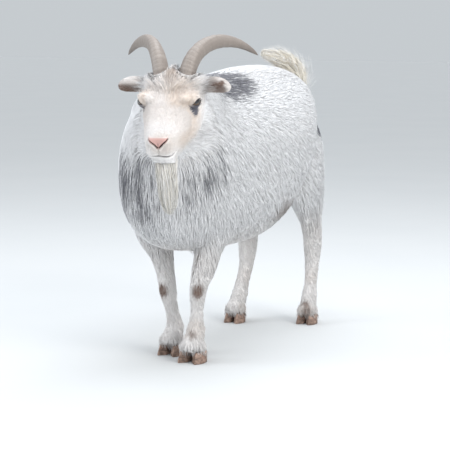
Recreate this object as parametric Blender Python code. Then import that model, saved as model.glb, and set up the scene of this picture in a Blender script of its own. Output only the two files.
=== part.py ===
"""A standing goat with horns and a beard, life size, as solids divided where a person names its parts.

Metres, +Z up. The goat faces -Y and its left side is +X. The soles stand on Z = 0.
The flesh is lofted limb by limb, fused and smoothed as one body, and then parted by thin cuts.
The outline is that of the coat, out to the tips of the hair.
"""

from math import cos, pi, radians, sin

import bmesh
import bpy
import numpy as np
from mathutils import Matrix, Vector

# ---- driving dimensions -------------------------------------------------------------------------
GAP = 0.0003                # clearance between touching pieces
VOXEL = 0.0040              # grain of the fused body before it is simplified
FLESH_TRIANGLES = 5300      # budget of the fused body
DETAIL_PRICE = 0.001        # how dearly the triangles of head and lower legs are given up
FINE_ROUNDS = 12            # smoothing of the whole body
BROAD_ROUNDS = 200          # further smoothing of trunk, neck and haunch

HEAD_PITCH = radians(20.0)  # how far the nose points below the level
HEAD_YAW = radians(14.6)    # how far the head turns to the goat's left
NOSE = Vector((0.102, -0.529, 0.546))  # middle of the nose pad
RING = 32                   # points round each lofted ring
SIDE = Vector((1, 0, 0))
UP = Vector((0, 0, 1))
HANDS = {"left": 1, "right": -1}

COLOURS = {
    "coat_white": (0.80, 0.79, 0.76, 0.85, 0.0),
    "coat_cream": (0.78, 0.74, 0.62, 0.85, 0.0),
    "horn": (0.36, 0.31, 0.26, 0.55, 0.0),
    "hoof": (0.30, 0.21, 0.15, 0.60, 0.0),
    "eye": (0.05, 0.04, 0.03, 0.12, 0.0),
}


# ---- small tools --------------------------------------------------------------------------------
def clear_scene():
    for obj in list(bpy.data.objects):
        bpy.data.objects.remove(obj, do_unlink=True)


def material(slot):
    """One Principled material for each slot, made once."""
    found = bpy.data.materials.get(slot)
    if found:
        return found
    made = bpy.data.materials.new(slot)
    made.use_nodes = True
    red, green, blue, roughness, metallic = COLOURS[slot]
    shader = made.node_tree.nodes["Principled BSDF"]
    shader.inputs["Base Color"].default_value = (red, green, blue, 1.0)
    shader.inputs["Roughness"].default_value = roughness
    shader.inputs["Metallic"].default_value = metallic
    return made


def object_of(name, mesh, slot=None):
    obj = bpy.data.objects.new(name, mesh)
    bpy.context.scene.collection.objects.link(obj)
    if slot:
        mesh.materials.clear()
        mesh.materials.append(material(slot))
    return obj


def evaluated(obj):
    """The object's mesh with its modifiers applied, in a new mesh."""
    graph = bpy.context.evaluated_depsgraph_get()
    return bpy.data.meshes.new_from_object(obj.evaluated_get(graph), depsgraph=graph)


def settle(obj):
    """Applies the object's modifiers for good."""
    mesh = evaluated(obj)
    obj.modifiers.clear()
    obj.data = mesh
    return obj


def through(stations, steps):
    """Station rows joined by a smooth curve (Catmull-Rom), steps rows for each span."""
    rows = np.array(stations, float)
    rows = np.vstack([2 * rows[0] - rows[1], rows, 2 * rows[-1] - rows[-2]])
    out = []
    for i in range(1, len(rows) - 2):
        before, a, b, after = rows[i - 1 : i + 3]
        for k in range(steps):
            t = k / steps
            out.append(
                0.5 * (2 * a + (b - before) * t + (2 * before - 5 * a + 4 * b - after) * t * t
                       + (3 * a - before - 3 * b + after) * t ** 3)
            )
    out.append(rows[-2])
    return np.array(out)


def power(value, exponent):
    return abs(value) ** exponent * (1 if value >= 0 else -1)


def loft(rings):
    """A closed mesh through rings of equal count, each end closed by a fan."""
    shape = bmesh.new()
    loops = [[shape.verts.new(p) for p in ring] for ring in rings]
    for low, high in zip(loops, loops[1:]):
        for i in range(len(low)):
            j = (i + 1) % len(low)
            shape.faces.new((low[i], low[j], high[j], high[i]))
    for loop in (loops[0], loops[-1]):
        middle = shape.verts.new(sum((v.co for v in loop), Vector()) / len(loop))
        for i in range(len(loop)):
            shape.faces.new((loop[i], loop[(i + 1) % len(loop)], middle))
    bmesh.ops.recalc_face_normals(shape, faces=shape.faces)
    mesh = bpy.data.meshes.new("loft")
    shape.to_mesh(mesh)
    shape.free()
    return mesh


def oval(centre, side, up, half_width, above, below, square=2.2, pinch=0.0, count=RING):
    """A ring: half_width to each side, above and below its centre, its lower half narrowed by pinch."""
    ring = []
    for i in range(count):
        angle = 2 * pi * i / count
        across = power(cos(angle), 2 / square)
        rise = power(sin(angle), 2 / square)
        if rise < 0:
            across *= 1 + pinch * rise
        ring.append(centre + side * (half_width * across) + up * ((above if rise > 0 else below) * rise))
    return ring


def tube(stations, side=SIDE, steps=5, count=RING, square=2.1):
    """A limb: stations are (x, y, z, half width across, half depth along the body)."""
    rows = through(stations, steps)
    centres = [Vector(row[:3]) for row in rows]
    rings = []
    for i, row in enumerate(rows):
        ahead = centres[min(i + 1, len(rows) - 1)] - centres[max(i - 1, 0)]
        forward = ahead.normalized()
        across = (side - forward * side.dot(forward)).normalized()
        depth = forward.cross(across)
        rings.append(oval(centres[i], across, depth, row[3], row[4], row[4], square, count=count))
    return loft(rings)


def ball(centre, radii, turn=Matrix(), rings=14, sectors=20):
    shape = bmesh.new()
    bmesh.ops.create_uvsphere(shape, u_segments=sectors, v_segments=rings, radius=1.0)
    place = Matrix.Translation(centre) @ turn @ Matrix.Diagonal((*radii, 1.0))
    bmesh.ops.transform(shape, matrix=place, verts=shape.verts)
    mesh = bpy.data.meshes.new("ball")
    shape.to_mesh(mesh)
    shape.free()
    return mesh


def box(centre, half, turn=Matrix()):
    shape = bmesh.new()
    bmesh.ops.create_cube(shape, size=2.0)
    place = Matrix.Translation(centre) @ turn @ Matrix.Diagonal((*half, 1.0))
    bmesh.ops.transform(shape, matrix=place, verts=shape.verts)
    mesh = bpy.data.meshes.new("box")
    shape.to_mesh(mesh)
    shape.free()
    return mesh


def fused(meshes):
    """The meshes as one object, before they are made one body."""
    shape = bmesh.new()
    for mesh in meshes:
        shape.from_mesh(mesh)
    mesh = bpy.data.meshes.new("fused")
    shape.to_mesh(mesh)
    shape.free()
    return object_of("fused", mesh)


def smooth(mesh, rounds, keep=None):
    """Taubin smoothing, which rounds the joins and keeps the volume. keep is 0 to 1 for each point."""
    points = np.empty(len(mesh.vertices) * 3, np.float32)
    mesh.vertices.foreach_get("co", points)
    points = points.reshape(-1, 3).astype(float)
    edges = np.empty(len(mesh.edges) * 2, np.int32)
    mesh.edges.foreach_get("vertices", edges)
    edges = edges.reshape(-1, 2)
    degree = np.bincount(edges.ravel(), minlength=len(points))[:, None]
    strength = 1.0 if keep is None else (1.0 - keep)[:, None]
    first, second = edges[:, 0], edges[:, 1]
    for _ in range(rounds):
        for step in (0.60, -0.61):
            total = np.empty_like(points)
            for axis in range(3):
                total[:, axis] = np.bincount(first, points[second, axis], len(points))
                total[:, axis] += np.bincount(second, points[first, axis], len(points))
            points += step * strength * (total / degree - points)
    mesh.vertices.foreach_set("co", points.astype(np.float32).ravel())
    mesh.update()


def boolean(obj, other_mesh, operation):
    other = object_of("cutter", other_mesh)
    other.hide_render = True
    other.display_type = "WIRE"
    modifier = obj.modifiers.new("cut", "BOOLEAN")
    modifier.operation = operation
    modifier.object = other
    modifier.solver = "EXACT"
    settle(obj)
    bpy.data.objects.remove(other, do_unlink=True)
    return obj


def part_off(body, name, origin, low, high, turn, slot):
    """Cuts off the piece of body inside a box, low to high about origin, a thin gap from the rest."""
    low, high = Vector(low), Vector(high)
    centre = origin + turn @ ((low + high) / 2)
    half = (high - low) / 2
    piece = object_of(name, body.data.copy())
    boolean(piece, box(centre, half, turn), "INTERSECT")
    boolean(body, box(centre, [value + GAP for value in half], turn), "DIFFERENCE")
    piece.data.materials.clear()
    piece.data.materials.append(material(slot))
    return piece


# ---- head ---------------------------------------------------------------------------------------
# The head's own frame: x to its left, y from the nose pad back to the poll, z up its forehead.
HEAD_FRAME = (
    Matrix.Translation(NOSE)
    @ Matrix.Rotation(HEAD_YAW, 4, "Z")
    @ Matrix.Rotation(HEAD_PITCH, 4, "X")
)

# distance back from the nose, top, bottom, half width, narrowing of the jaw
HEAD_STATIONS = [
    (-0.0060, 0.010, -0.030, 0.0205, 0.10),
    (0.002, 0.018, -0.048, 0.0295, 0.10),
    (0.018, 0.025, -0.063, 0.0372, 0.12),
    (0.046, 0.036, -0.070, 0.0448, 0.18),
    (0.076, 0.051, -0.076, 0.0525, 0.22),
    (0.106, 0.070, -0.082, 0.0625, 0.24),
    (0.135, 0.087, -0.087, 0.0695, 0.24),
    (0.165, 0.096, -0.086, 0.0710, 0.22),
    (0.195, 0.090, -0.076, 0.0650, 0.18),
    (0.225, 0.068, -0.050, 0.0500, 0.15),
]
EYE = Vector((0.0560, 0.1160, 0.0500))
EYE_RADIUS = 0.0155


def mirrored(point):
    return Vector((-point.x, point.y, point.z))


def head_meshes():
    """The skull's loft with what stands out on it, in the head's frame."""
    rings = []
    for back, top, bottom, half_width, pinch in through(HEAD_STATIONS, 3):
        middle = bottom + 0.60 * (top - bottom)
        centre = Vector((0, back, middle))
        rings.append(oval(centre, SIDE, UP, half_width, top - middle, middle - bottom, 2.4, pinch))
    made = [loft(rings)]
    bumps = [
        (Vector((0.042, 0.128, 0.060)), (0.024, 0.040, 0.014)),    # brow over the eye
        (Vector((0.042, 0.114, 0.021)), (0.020, 0.042, 0.020)),    # cheekbone under the eye
        (Vector((0.038, 0.176, 0.070)), (0.033, 0.036, 0.030)),    # crown beside the horn
        (Vector((0.014, 0.014, -0.026)), (0.021, 0.022, 0.018)),   # upper lip
        (Vector((0.012, 0.002, 0.004)), (0.0125, 0.010, 0.011)),   # wing of the nostril
    ]
    for centre, radii in bumps:
        made.append(ball(centre, radii))
        made.append(ball(mirrored(centre), radii))
    made.append(ball(Vector((0, 0.022, -0.056)), (0.024, 0.024, 0.014)))   # chin
    made.append(ball(Vector((0, 0.166, 0.078)), (0.050, 0.054, 0.030)))    # forelock
    for mesh in made:
        mesh.transform(HEAD_FRAME)
    return made


# ---- horns and ears -----------------------------------------------------------------------------
# In the head's frame, for the left side: x, y, z, half width, half depth
HORN_STATIONS = [
    (0.026, 0.172, 0.062, 0.0200, 0.0245),
    (0.031, 0.184, 0.094, 0.0190, 0.0235),
    (0.042, 0.211, 0.120, 0.0175, 0.0215),
    (0.061, 0.250, 0.131, 0.0152, 0.0185),
    (0.087, 0.289, 0.126, 0.0126, 0.0155),
    (0.115, 0.322, 0.107, 0.0092, 0.0110),
    (0.138, 0.345, 0.081, 0.0052, 0.0060),
    (0.148, 0.354, 0.066, 0.0012, 0.0014),
]
HORN_FLARE = 1.08           # widens the horns' sweep
EAR_REACH = 1.03            # lengthens the ears
EAR_STATIONS = [
    (0.052, 0.178, 0.058, 0.0165, 0.0130),
    (0.073, 0.178, 0.062, 0.0190, 0.0150),
    (0.092, 0.176, 0.064, 0.0200, 0.0145),
    (0.109, 0.172, 0.063, 0.0185, 0.0120),
    (0.121, 0.170, 0.058, 0.0130, 0.0095),
    (0.127, 0.170, 0.054, 0.0055, 0.0045),
]


def placed(mesh, hand):
    """A left-hand mesh of the head set in place, mirrored for the right hand."""
    if hand < 0:
        mesh.transform(Matrix.Diagonal((-1, 1, 1, 1)))
        mesh.flip_normals()
    mesh.transform(HEAD_FRAME)
    return mesh


def horn_mesh(hand, grow=0.0):
    root = HORN_STATIONS[0][0]   # the horns flare outwards from here
    stations = [
        (root + (x - root) * HORN_FLARE, y, z, width + grow, depth + grow)
        for x, y, z, width, depth in HORN_STATIONS
    ]
    x, y, z, width, depth = stations[0]
    stations[0] = (x, y, z - grow, width, depth)
    mesh = tube(stations, steps=2, count=12, square=2.0)
    return placed(mesh, hand)


def ear_mesh(hand):
    stations = [(x * EAR_REACH, *rest) for x, *rest in EAR_STATIONS]
    mesh = tube(stations, side=UP, steps=4, count=20)
    return placed(mesh, hand)


def eye_mesh(hand, grow=0.0):
    radius = EYE_RADIUS + grow
    return placed(ball(EYE, (radius, radius, radius), rings=8, sectors=12), hand)


# ---- body ---------------------------------------------------------------------------------------
# place along the body, top, bottom, half width
TRUNK_STATIONS = [
    (-0.394, 0.470, 0.400, 0.045),
    (-0.372, 0.575, 0.318, 0.092),
    (-0.300, 0.646, 0.272, 0.140),
    (-0.200, 0.674, 0.258, 0.160),
    (-0.060, 0.682, 0.252, 0.168),
    (0.050, 0.694, 0.260, 0.172),
    (0.130, 0.699, 0.305, 0.168),
    (0.200, 0.696, 0.374, 0.154),
    (0.270, 0.680, 0.430, 0.126),
    (0.330, 0.640, 0.455, 0.094),
    (0.362, 0.590, 0.500, 0.056),
]
# x, y, z, half width, half depth
NECK_STATIONS = [
    (0.000, -0.130, 0.480, 0.130, 0.175),
    (0.006, -0.205, 0.535, 0.128, 0.148),
    (0.022, -0.272, 0.586, 0.110, 0.114),
    (0.038, -0.326, 0.616, 0.088, 0.088),
    (0.050, -0.364, 0.632, 0.068, 0.070),
    (0.058, -0.396, 0.642, 0.048, 0.050),
]
THROAT_STATIONS = [
    (0.000, -0.200, 0.400, 0.100, 0.100),
    (0.004, -0.272, 0.430, 0.112, 0.100),
    (0.014, -0.322, 0.480, 0.104, 0.082),
    (0.030, -0.346, 0.530, 0.082, 0.062),
    (0.046, -0.362, 0.575, 0.060, 0.048),
]
TAIL_STATIONS = [
    (0.000, 0.270, 0.580, 0.040, 0.040),
    (0.004, 0.330, 0.608, 0.038, 0.036),
    (0.004, 0.362, 0.650, 0.037, 0.034),
    (-0.006, 0.350, 0.688, 0.034, 0.030),
    (-0.024, 0.312, 0.713, 0.024, 0.022),
    (-0.044, 0.272, 0.725, 0.009, 0.009),
]
BEARD_STATIONS = [
    (0.101, -0.502, 0.515, 0.026, 0.017),
    (0.103, -0.500, 0.490, 0.028, 0.019),
    (0.105, -0.495, 0.455, 0.027, 0.018),
    (0.106, -0.490, 0.415, 0.023, 0.014),
    (0.106, -0.487, 0.382, 0.013, 0.009),
]


# Each leg from inside the body down to the top of its hoof: x, y, z, half width, half depth
LEG_STATIONS = {
    "front_left": [
        (0.086, -0.190, 0.400, 0.060, 0.085),
        (0.082, -0.200, 0.335, 0.046, 0.062),
        (0.072, -0.222, 0.290, 0.034, 0.041),
        (0.066, -0.236, 0.253, 0.030, 0.036),
        (0.061, -0.246, 0.220, 0.027, 0.036),
        (0.056, -0.258, 0.188, 0.0225, 0.0260),
        (0.053, -0.260, 0.165, 0.0205, 0.0235),
        (0.049, -0.256, 0.132, 0.0160, 0.0185),
        (0.046, -0.254, 0.100, 0.0165, 0.0190),
        (0.044, -0.254, 0.076, 0.0225, 0.0235),
        (0.043, -0.260, 0.054, 0.0250, 0.0255),
        (0.043, -0.266, 0.036, 0.0295, 0.0340),
        (0.043, -0.268, 0.026, 0.0300, 0.0350),
    ],
    "front_right": [
        (-0.098, -0.195, 0.400, 0.062, 0.085),
        (-0.096, -0.215, 0.335, 0.053, 0.062),
        (-0.084, -0.224, 0.290, 0.043, 0.048),
        (-0.070, -0.220, 0.252, 0.0285, 0.038),
        (-0.062, -0.217, 0.212, 0.0230, 0.0280),
        (-0.056, -0.218, 0.180, 0.0215, 0.0245),
        (-0.052, -0.219, 0.155, 0.0215, 0.0240),
        (-0.048, -0.213, 0.122, 0.0165, 0.0190),
        (-0.045, -0.206, 0.092, 0.0170, 0.0190),
        (-0.043, -0.202, 0.068, 0.0215, 0.0225),
        (-0.043, -0.208, 0.050, 0.0240, 0.0250),
        (-0.043, -0.217, 0.035, 0.0280, 0.0330),
        (-0.043, -0.219, 0.026, 0.0285, 0.0340),
    ],
    "hind_left": [
        (0.040, 0.225, 0.560, 0.050, 0.080),
        (0.066, 0.245, 0.500, 0.066, 0.096),
        (0.079, 0.256, 0.440, 0.062, 0.094),
        (0.088, 0.276, 0.370, 0.050, 0.074),
        (0.092, 0.294, 0.320, 0.038, 0.056),
        (0.092, 0.308, 0.278, 0.028, 0.042),
        (0.091, 0.320, 0.240, 0.0245, 0.0370),
        (0.091, 0.322, 0.208, 0.0240, 0.0340),
        (0.091, 0.320, 0.172, 0.0205, 0.0250),
        (0.091, 0.312, 0.115, 0.0165, 0.0195),
        (0.091, 0.302, 0.076, 0.0205, 0.0225),
        (0.091, 0.297, 0.054, 0.0220, 0.0235),
        (0.091, 0.291, 0.036, 0.0255, 0.0290),
        (0.091, 0.290, 0.026, 0.0255, 0.0290),
    ],
    "hind_right": [
        (-0.040, 0.215, 0.560, 0.050, 0.080),
        (-0.068, 0.230, 0.500, 0.068, 0.098),
        (-0.084, 0.240, 0.440, 0.066, 0.098),
        (-0.094, 0.246, 0.370, 0.054, 0.080),
        (-0.096, 0.264, 0.310, 0.042, 0.060),
        (-0.095, 0.285, 0.262, 0.032, 0.045),
        (-0.093, 0.298, 0.228, 0.0260, 0.0395),
        (-0.092, 0.294, 0.192, 0.0240, 0.0340),
        (-0.091, 0.284, 0.150, 0.0195, 0.0250),
        (-0.091, 0.262, 0.105, 0.0175, 0.0220),
        (-0.091, 0.243, 0.072, 0.0215, 0.0240),
        (-0.091, 0.231, 0.052, 0.0225, 0.0245),
        (-0.091, 0.219, 0.036, 0.0260, 0.0295),
        (-0.091, 0.217, 0.026, 0.0260, 0.0295),
    ],
}


def trunk_mesh():
    rings = []
    for y, top, bottom, half_width in through(TRUNK_STATIONS, 4):
        middle = bottom + 0.47 * (top - bottom)
        centre = Vector((0, y, middle))
        rings.append(oval(centre, SIDE, UP, half_width, top - middle, middle - bottom, 2.25))
    return loft(rings)


def fade(values, full, none):
    """1 where values lie beyond full, 0 beyond none, straight between them."""
    return np.clip((np.asarray(values) - none) / (full - none), 0.0, 1.0)


def detail_of(mesh):
    """Where the fine forms are kept, 0 to 1 for each point: head, lower legs and tail."""
    points = np.empty(len(mesh.vertices) * 3, np.float32)
    mesh.vertices.foreach_get("co", points)
    points = points.reshape(-1, 3).astype(float)
    inward = np.array(HEAD_FRAME.inverted())
    across, along, _ = (points @ inward[:3, :3].T + inward[:3, 3]).T
    head = np.maximum(fade(along, 0.13, 0.20), fade(np.abs(across), 0.070, 0.055) * fade(along, 0.21, 0.25))
    head *= fade(points[:, 2], 0.52, 0.47)
    beard = fade(points[:, 1], -0.44, -0.42)
    legs = fade(points[:, 2], 0.24, 0.31)
    tail = fade(points[:, 2], 0.68, 0.64) * fade(points[:, 1], 0.28, 0.24)
    return np.maximum.reduce([head, beard, legs, tail])


SHOULDER = Vector((0.073, -0.212, 0.560))
SHOULDER_RADII = (0.066, 0.105, 0.086)
SHOULDER_TURN = Matrix.Rotation(radians(-30), 4, "X")   # the blade's top leans back
DEWCLAW_RADII = (0.0065, 0.0060, 0.0100)
DEWCLAW_ASIDE = 0.0105      # from the middle of the leg
DEWCLAW_DROP = 0.0040       # below the fetlock's middle
DEWCLAW_SINK = 0.96         # its middle's distance back, as a share of the leg's half depth
DEWCLAW_TURN = Matrix.Rotation(radians(-35), 4, "X")
FETLOCK_ROW = -4            # of each leg's stations


def shoulder_mesh(hand):
    """The muscle over a shoulder blade."""
    return ball(Vector((hand * SHOULDER.x, SHOULDER.y, SHOULDER.z)), SHOULDER_RADII, SHOULDER_TURN)


def dewclaw_mesh(leg, hand):
    """A small stud behind the fetlock."""
    x, y, z, _, half_depth = leg[FETLOCK_ROW]
    centre = Vector((x + hand * DEWCLAW_ASIDE, y + half_depth * DEWCLAW_SINK, z - DEWCLAW_DROP))
    return ball(centre, DEWCLAW_RADII, DEWCLAW_TURN)


def flesh():
    """All the flesh as one closed and smooth body."""
    meshes = head_meshes()
    meshes += [ear_mesh(1), ear_mesh(-1), trunk_mesh()]
    meshes += [tube(rows) for rows in (NECK_STATIONS, THROAT_STATIONS, TAIL_STATIONS, BEARD_STATIONS)]
    meshes += [tube(stations) for stations in LEG_STATIONS.values()]
    for hand in HANDS.values():
        meshes.append(shoulder_mesh(hand))
        meshes += [dewclaw_mesh(leg, hand) for leg in LEG_STATIONS.values()]
    body = fused(meshes)
    remesh = body.modifiers.new("remesh", "REMESH")
    remesh.mode = "VOXEL"
    remesh.voxel_size = VOXEL
    settle(body)
    smooth(body.data, FINE_ROUNDS)
    smooth(body.data, BROAD_ROUNDS, detail_of(body.data))
    return body


def simplify(body):
    """Fewer triangles, with somewhat more of them kept where detail_of says so."""
    kept = body.vertex_groups.new(name="kept")
    for index, detail in enumerate(detail_of(body.data)):
        kept.add([index], 1.0 - 0.5 * float(detail), "REPLACE")
    thin = body.modifiers.new("simplify", "DECIMATE")
    triangles = sum(len(face.vertices) - 2 for face in body.data.polygons)
    thin.ratio = FLESH_TRIANGLES / triangles
    thin.vertex_group = kept.name
    thin.vertex_group_factor = DETAIL_PRICE
    thin.use_collapse_triangulate = True
    settle(body)
    return body


# ---- hooves -------------------------------------------------------------------------------------
HOOF_TOP = 0.0262         # height at which the hair stops and the hoof begins
# middle x, middle y, half width, half length at the sole, spread of the toes
FEET = {
    "front_left": (0.043, -0.266, 0.0300, 0.0370, radians(7)),
    "front_right": (-0.043, -0.217, 0.0290, 0.0360, radians(6)),
    "hind_left": (0.091, 0.290, 0.0262, 0.0330, radians(4)),
    "hind_right": (-0.091, 0.217, 0.0262, 0.0330, radians(4)),
}
CLEFT = 0.0012              # half the space between the two claws of a foot
HEEL = 0.86                 # the heel's distance back, as a share of the foot's half length
WALL_POINTS = 9             # round a claw's outer wall
WALL_WIDTH = 0.96           # share of the foot's half width that the wall bulges to
WALL_START, WALL_SPAN = 0.08, 0.84   # the part of a half wave that the wall's bulge follows
WALL_FULLNESS = 0.55        # below 1 the bulge is blunter
# height, width as a share of the sole's, and how far the toe has sloped back
CLAW_ROWS = ((0.0, 1.0, 0.0), (0.006, 0.985, 0.002), (HOOF_TOP - GAP, 0.90, 0.012))


def claw_mesh(foot, hand):
    """One claw of a cloven hoof: flat below and on its inner side, its toe sloping forward."""
    x, y, half_width, half_length, spread = FEET[foot]
    back = half_length * HEEL
    rings = []
    for height, grow, toe in CLAW_ROWS:
        front = -half_length + toe
        ring = []
        for i in range(WALL_POINTS):
            along = i / (WALL_POINTS - 1)
            bulge = sin(pi * (WALL_START + WALL_SPAN * along)) ** WALL_FULLNESS
            out = half_width * grow * bulge * WALL_WIDTH
            ring.append(Vector((CLEFT + out, front + (back - front) * along, height)))
        for i in range(1, 4):
            ring.append(Vector((CLEFT, back + (front - back) * i / 4, height)))
        rings.append(ring)
    mesh = loft(rings)
    mesh.transform(Matrix.Translation((0, back, 0)) @ Matrix.Rotation(spread, 4, "Z")
                   @ Matrix.Translation((0, -back, 0)))
    if hand < 0:
        mesh.transform(Matrix.Diagonal((-1, 1, 1, 1)))
        mesh.flip_normals()
    mesh.transform(Matrix.Translation((x, y, 0)))
    return mesh


# ---- division into named parts ------------------------------------------------------------------
NO_TURN = Matrix()
HEAD_TURN = HEAD_FRAME.to_3x3().to_4x4()
NECK_TURN = Matrix.Rotation(radians(45), 4, "X")
TAIL_TURN = Matrix.Rotation(radians(-25), 4, "X")
HAUNCH_TURN = Matrix.Rotation(radians(22), 4, "X")
CHIN = Vector((0.10, -0.49, 0.497))
THROAT = Vector((0, -0.32, 0.585))
TAIL_HEAD = Vector((0, 0.345, 0.648))
ELBOW = Vector((0, -0.225, 0.246))
STIFLE = Vector((0, 0.28, 0.345))
# In the order of cutting: name, a point on the cut, low and high corners of the box about it, turn, slot
CUTS = [
    ("beard", CHIN, (-0.06, -0.06, -0.14), (0.06, 0.06, 0.0), NO_TURN, "coat_cream"),
    ("ear_left", NOSE, (0.083, 0.146, 0.030), (0.170, 0.199, 0.092), HEAD_TURN, "coat_white"),
    ("ear_right", NOSE, (-0.170, 0.146, 0.030), (-0.083, 0.199, 0.092), HEAD_TURN, "coat_white"),
    ("head", NOSE, (-0.100, -0.050, -0.094), (0.100, 0.212, 0.130), HEAD_TURN, "coat_white"),
    ("neck", THROAT, (-0.20, -0.115, 0.0), (0.20, 0.30, 0.20), NECK_TURN, "coat_white"),
    ("tail", TAIL_HEAD, (-0.08, -0.12, 0.0), (0.08, 0.10, 0.15), TAIL_TURN, "coat_cream"),
    ("leg_front_left", ELBOW, (0.004, -0.12, -0.24), (0.17, 0.12, 0.0), NO_TURN, "coat_white"),
    ("leg_front_right", ELBOW, (-0.17, -0.12, -0.24), (-0.004, 0.12, 0.0), NO_TURN, "coat_white"),
    ("leg_hind_left", STIFLE, (0.056, -0.165, -0.42), (0.19, 0.20, 0.0), HAUNCH_TURN, "coat_white"),
    ("leg_hind_right", STIFLE, (-0.19, -0.228, -0.42), (-0.056, 0.20, 0.0), HAUNCH_TURN, "coat_white"),
]


def divide(body):
    """Cuts the body where a person names its parts."""
    for name, origin, low, high, turn, slot in CUTS:
        part_off(body, name, origin, low, high, turn, slot)


EAR_CUP = Vector((0.098, 0.159, 0.055))
EAR_CUP_RADII = (0.030, 0.011, 0.0125)


def cup_ears(body):
    """Hollows the front of each ear."""
    for hand in HANDS.values():
        cup = ball(EAR_CUP, EAR_CUP_RADII, rings=8, sectors=12)
        boolean(body, placed(cup, hand), "DIFFERENCE")


def centre_all():
    """Moves every piece so that the whole stands with the middle of its base at the origin."""
    pieces = [obj for obj in bpy.context.scene.objects if obj.type == "MESH"]
    corners = [vertex.co for piece in pieces for vertex in piece.data.vertices]
    middle = [(max(c[axis] for c in corners) + min(c[axis] for c in corners)) / 2 for axis in (0, 1)]
    for piece in pieces:
        piece.data.transform(Matrix.Translation((-middle[0], -middle[1], 0)))


def main():
    clear_scene()
    body = simplify(flesh())
    body.name = "trunk"
    body.data.materials.clear()
    body.data.materials.append(material("coat_white"))
    below_hair = box(Vector((0, 0, HOOF_TOP - 0.1)), (0.5, 0.8, 0.1))   # all under the hoofs' tops
    boolean(body, below_hair, "DIFFERENCE")
    for name, hand in HANDS.items():
        object_of("horn_" + name, horn_mesh(hand), "horn")
        boolean(body, horn_mesh(hand, GAP), "DIFFERENCE")
        object_of("eye_" + name, eye_mesh(hand), "eye")
        boolean(body, eye_mesh(hand, GAP), "DIFFERENCE")
    for foot in FEET:
        for name, hand in HANDS.items():
            object_of("claw_" + foot + "_" + name, claw_mesh(foot, hand), "hoof")
    cup_ears(body)
    divide(body)
    centre_all()


main()
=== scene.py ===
"""A life-size goat for a museum: a still animal with curved horns, a beard and a long pale coat.

The frame gives every part its place. One skin lies under the coat and replaces the nodes of flesh.
The coat is joined locks of hair that grow out of the skin and follow its lie, and each lock carries
the marking of the place where it is rooted.
"""

from functools import cache
from math import atan2, pi, radians, sin

import bmesh
import bpy
import numpy as np
from mathutils import Matrix, Vector
from mathutils.bvhtree import BVHTree
from mathutils.kdtree import KDTree


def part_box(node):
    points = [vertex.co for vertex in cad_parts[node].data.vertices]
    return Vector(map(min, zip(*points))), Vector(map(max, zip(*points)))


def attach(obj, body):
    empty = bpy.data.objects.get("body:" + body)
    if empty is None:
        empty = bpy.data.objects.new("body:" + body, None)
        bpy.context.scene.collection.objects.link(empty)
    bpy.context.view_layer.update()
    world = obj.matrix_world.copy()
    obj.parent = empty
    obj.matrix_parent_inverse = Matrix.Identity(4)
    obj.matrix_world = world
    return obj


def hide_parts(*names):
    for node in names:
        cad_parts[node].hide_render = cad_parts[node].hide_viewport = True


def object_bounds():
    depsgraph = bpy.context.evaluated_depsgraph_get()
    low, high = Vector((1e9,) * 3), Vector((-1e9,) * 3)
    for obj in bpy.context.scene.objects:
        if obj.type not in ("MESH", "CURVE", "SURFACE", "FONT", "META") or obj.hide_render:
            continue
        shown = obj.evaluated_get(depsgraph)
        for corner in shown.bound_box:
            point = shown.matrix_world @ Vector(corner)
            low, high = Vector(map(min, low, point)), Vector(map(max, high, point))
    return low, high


bl_info = {
    "name": "Museum Goat",
    "version": (1, 0, 0),
    "blender": (4, 5, 0),
    "location": "View3D > Sidebar > Goat",
    "description": "Dresses a goat's solid parts with skin, coat, eyes, horns and hooves",
    "category": "Object",
}

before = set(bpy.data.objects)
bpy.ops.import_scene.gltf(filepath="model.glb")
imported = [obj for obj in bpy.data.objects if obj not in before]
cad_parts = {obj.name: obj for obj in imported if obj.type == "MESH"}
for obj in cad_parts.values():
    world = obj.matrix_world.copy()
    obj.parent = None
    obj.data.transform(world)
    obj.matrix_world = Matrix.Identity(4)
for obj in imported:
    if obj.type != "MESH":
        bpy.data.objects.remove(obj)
CAD_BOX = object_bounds()
FLOOR = CAD_BOX[0][2]

# ---- the frame's places ---------------------------------------------------------------------------
HEAD_PITCH = radians(20)                   # the muzzle points down this much
EYE_IN_HEAD = Vector((0.056, 0.116, 0.050))   # left eye from the nose pad: left, back, up
REGIONS = {
    "head": ("head",),
    "ear": ("ear_left", "ear_right"),
    "neck": ("neck",),
    "trunk": ("trunk",),
    "tail": ("tail",),
    "leg": ("leg_front_left", "leg_front_right", "leg_hind_left", "leg_hind_right"),
}
FLESH = [name for names in REGIONS.values() for name in names]
CLAWS = [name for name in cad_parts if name.startswith("claw_")]
HANDS = {"left": 1, "right": -1}
HORN_ROOT = (0.028, 0.178, 0.095)          # the left horn's root in the head's frame
BODY_MIDDLE = -0.012                       # the trunk's middle, across
SHOULDER_END = -0.110                      # where the shoulder's coat meets the ribs', along the body
RIBS_END = 0.120                           # and where the ribs' coat meets the rump's
LEGS_PARTED = 0.05                         # between the front legs and the hind legs
KNEE_HEIGHT = 0.16
DOWN = np.array([0.0, 0.0, -1.0])


def middle(node):
    low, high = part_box(node)
    return (low + high) / 2


EYES = {side: middle("eye_" + side) for side in HANDS}
EYE_RADIUS = (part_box("eye_left")[1].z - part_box("eye_left")[0].z) / 2
ACROSS = EYES["left"] - EYES["right"]
HEAD_FRAME = (
    Matrix.Translation((EYES["left"] + EYES["right"]) / 2)
    @ Matrix.Rotation(atan2(ACROSS.y, ACROSS.x), 4, "Z")
    @ Matrix.Rotation(HEAD_PITCH, 4, "X")
    @ Matrix.Translation((0, -EYE_IN_HEAD.y, -EYE_IN_HEAD.z))
)
HEAD_AXES = np.array(HEAD_FRAME.to_3x3())
HEAD_ORIGIN = np.array(HEAD_FRAME.translation)


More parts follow.
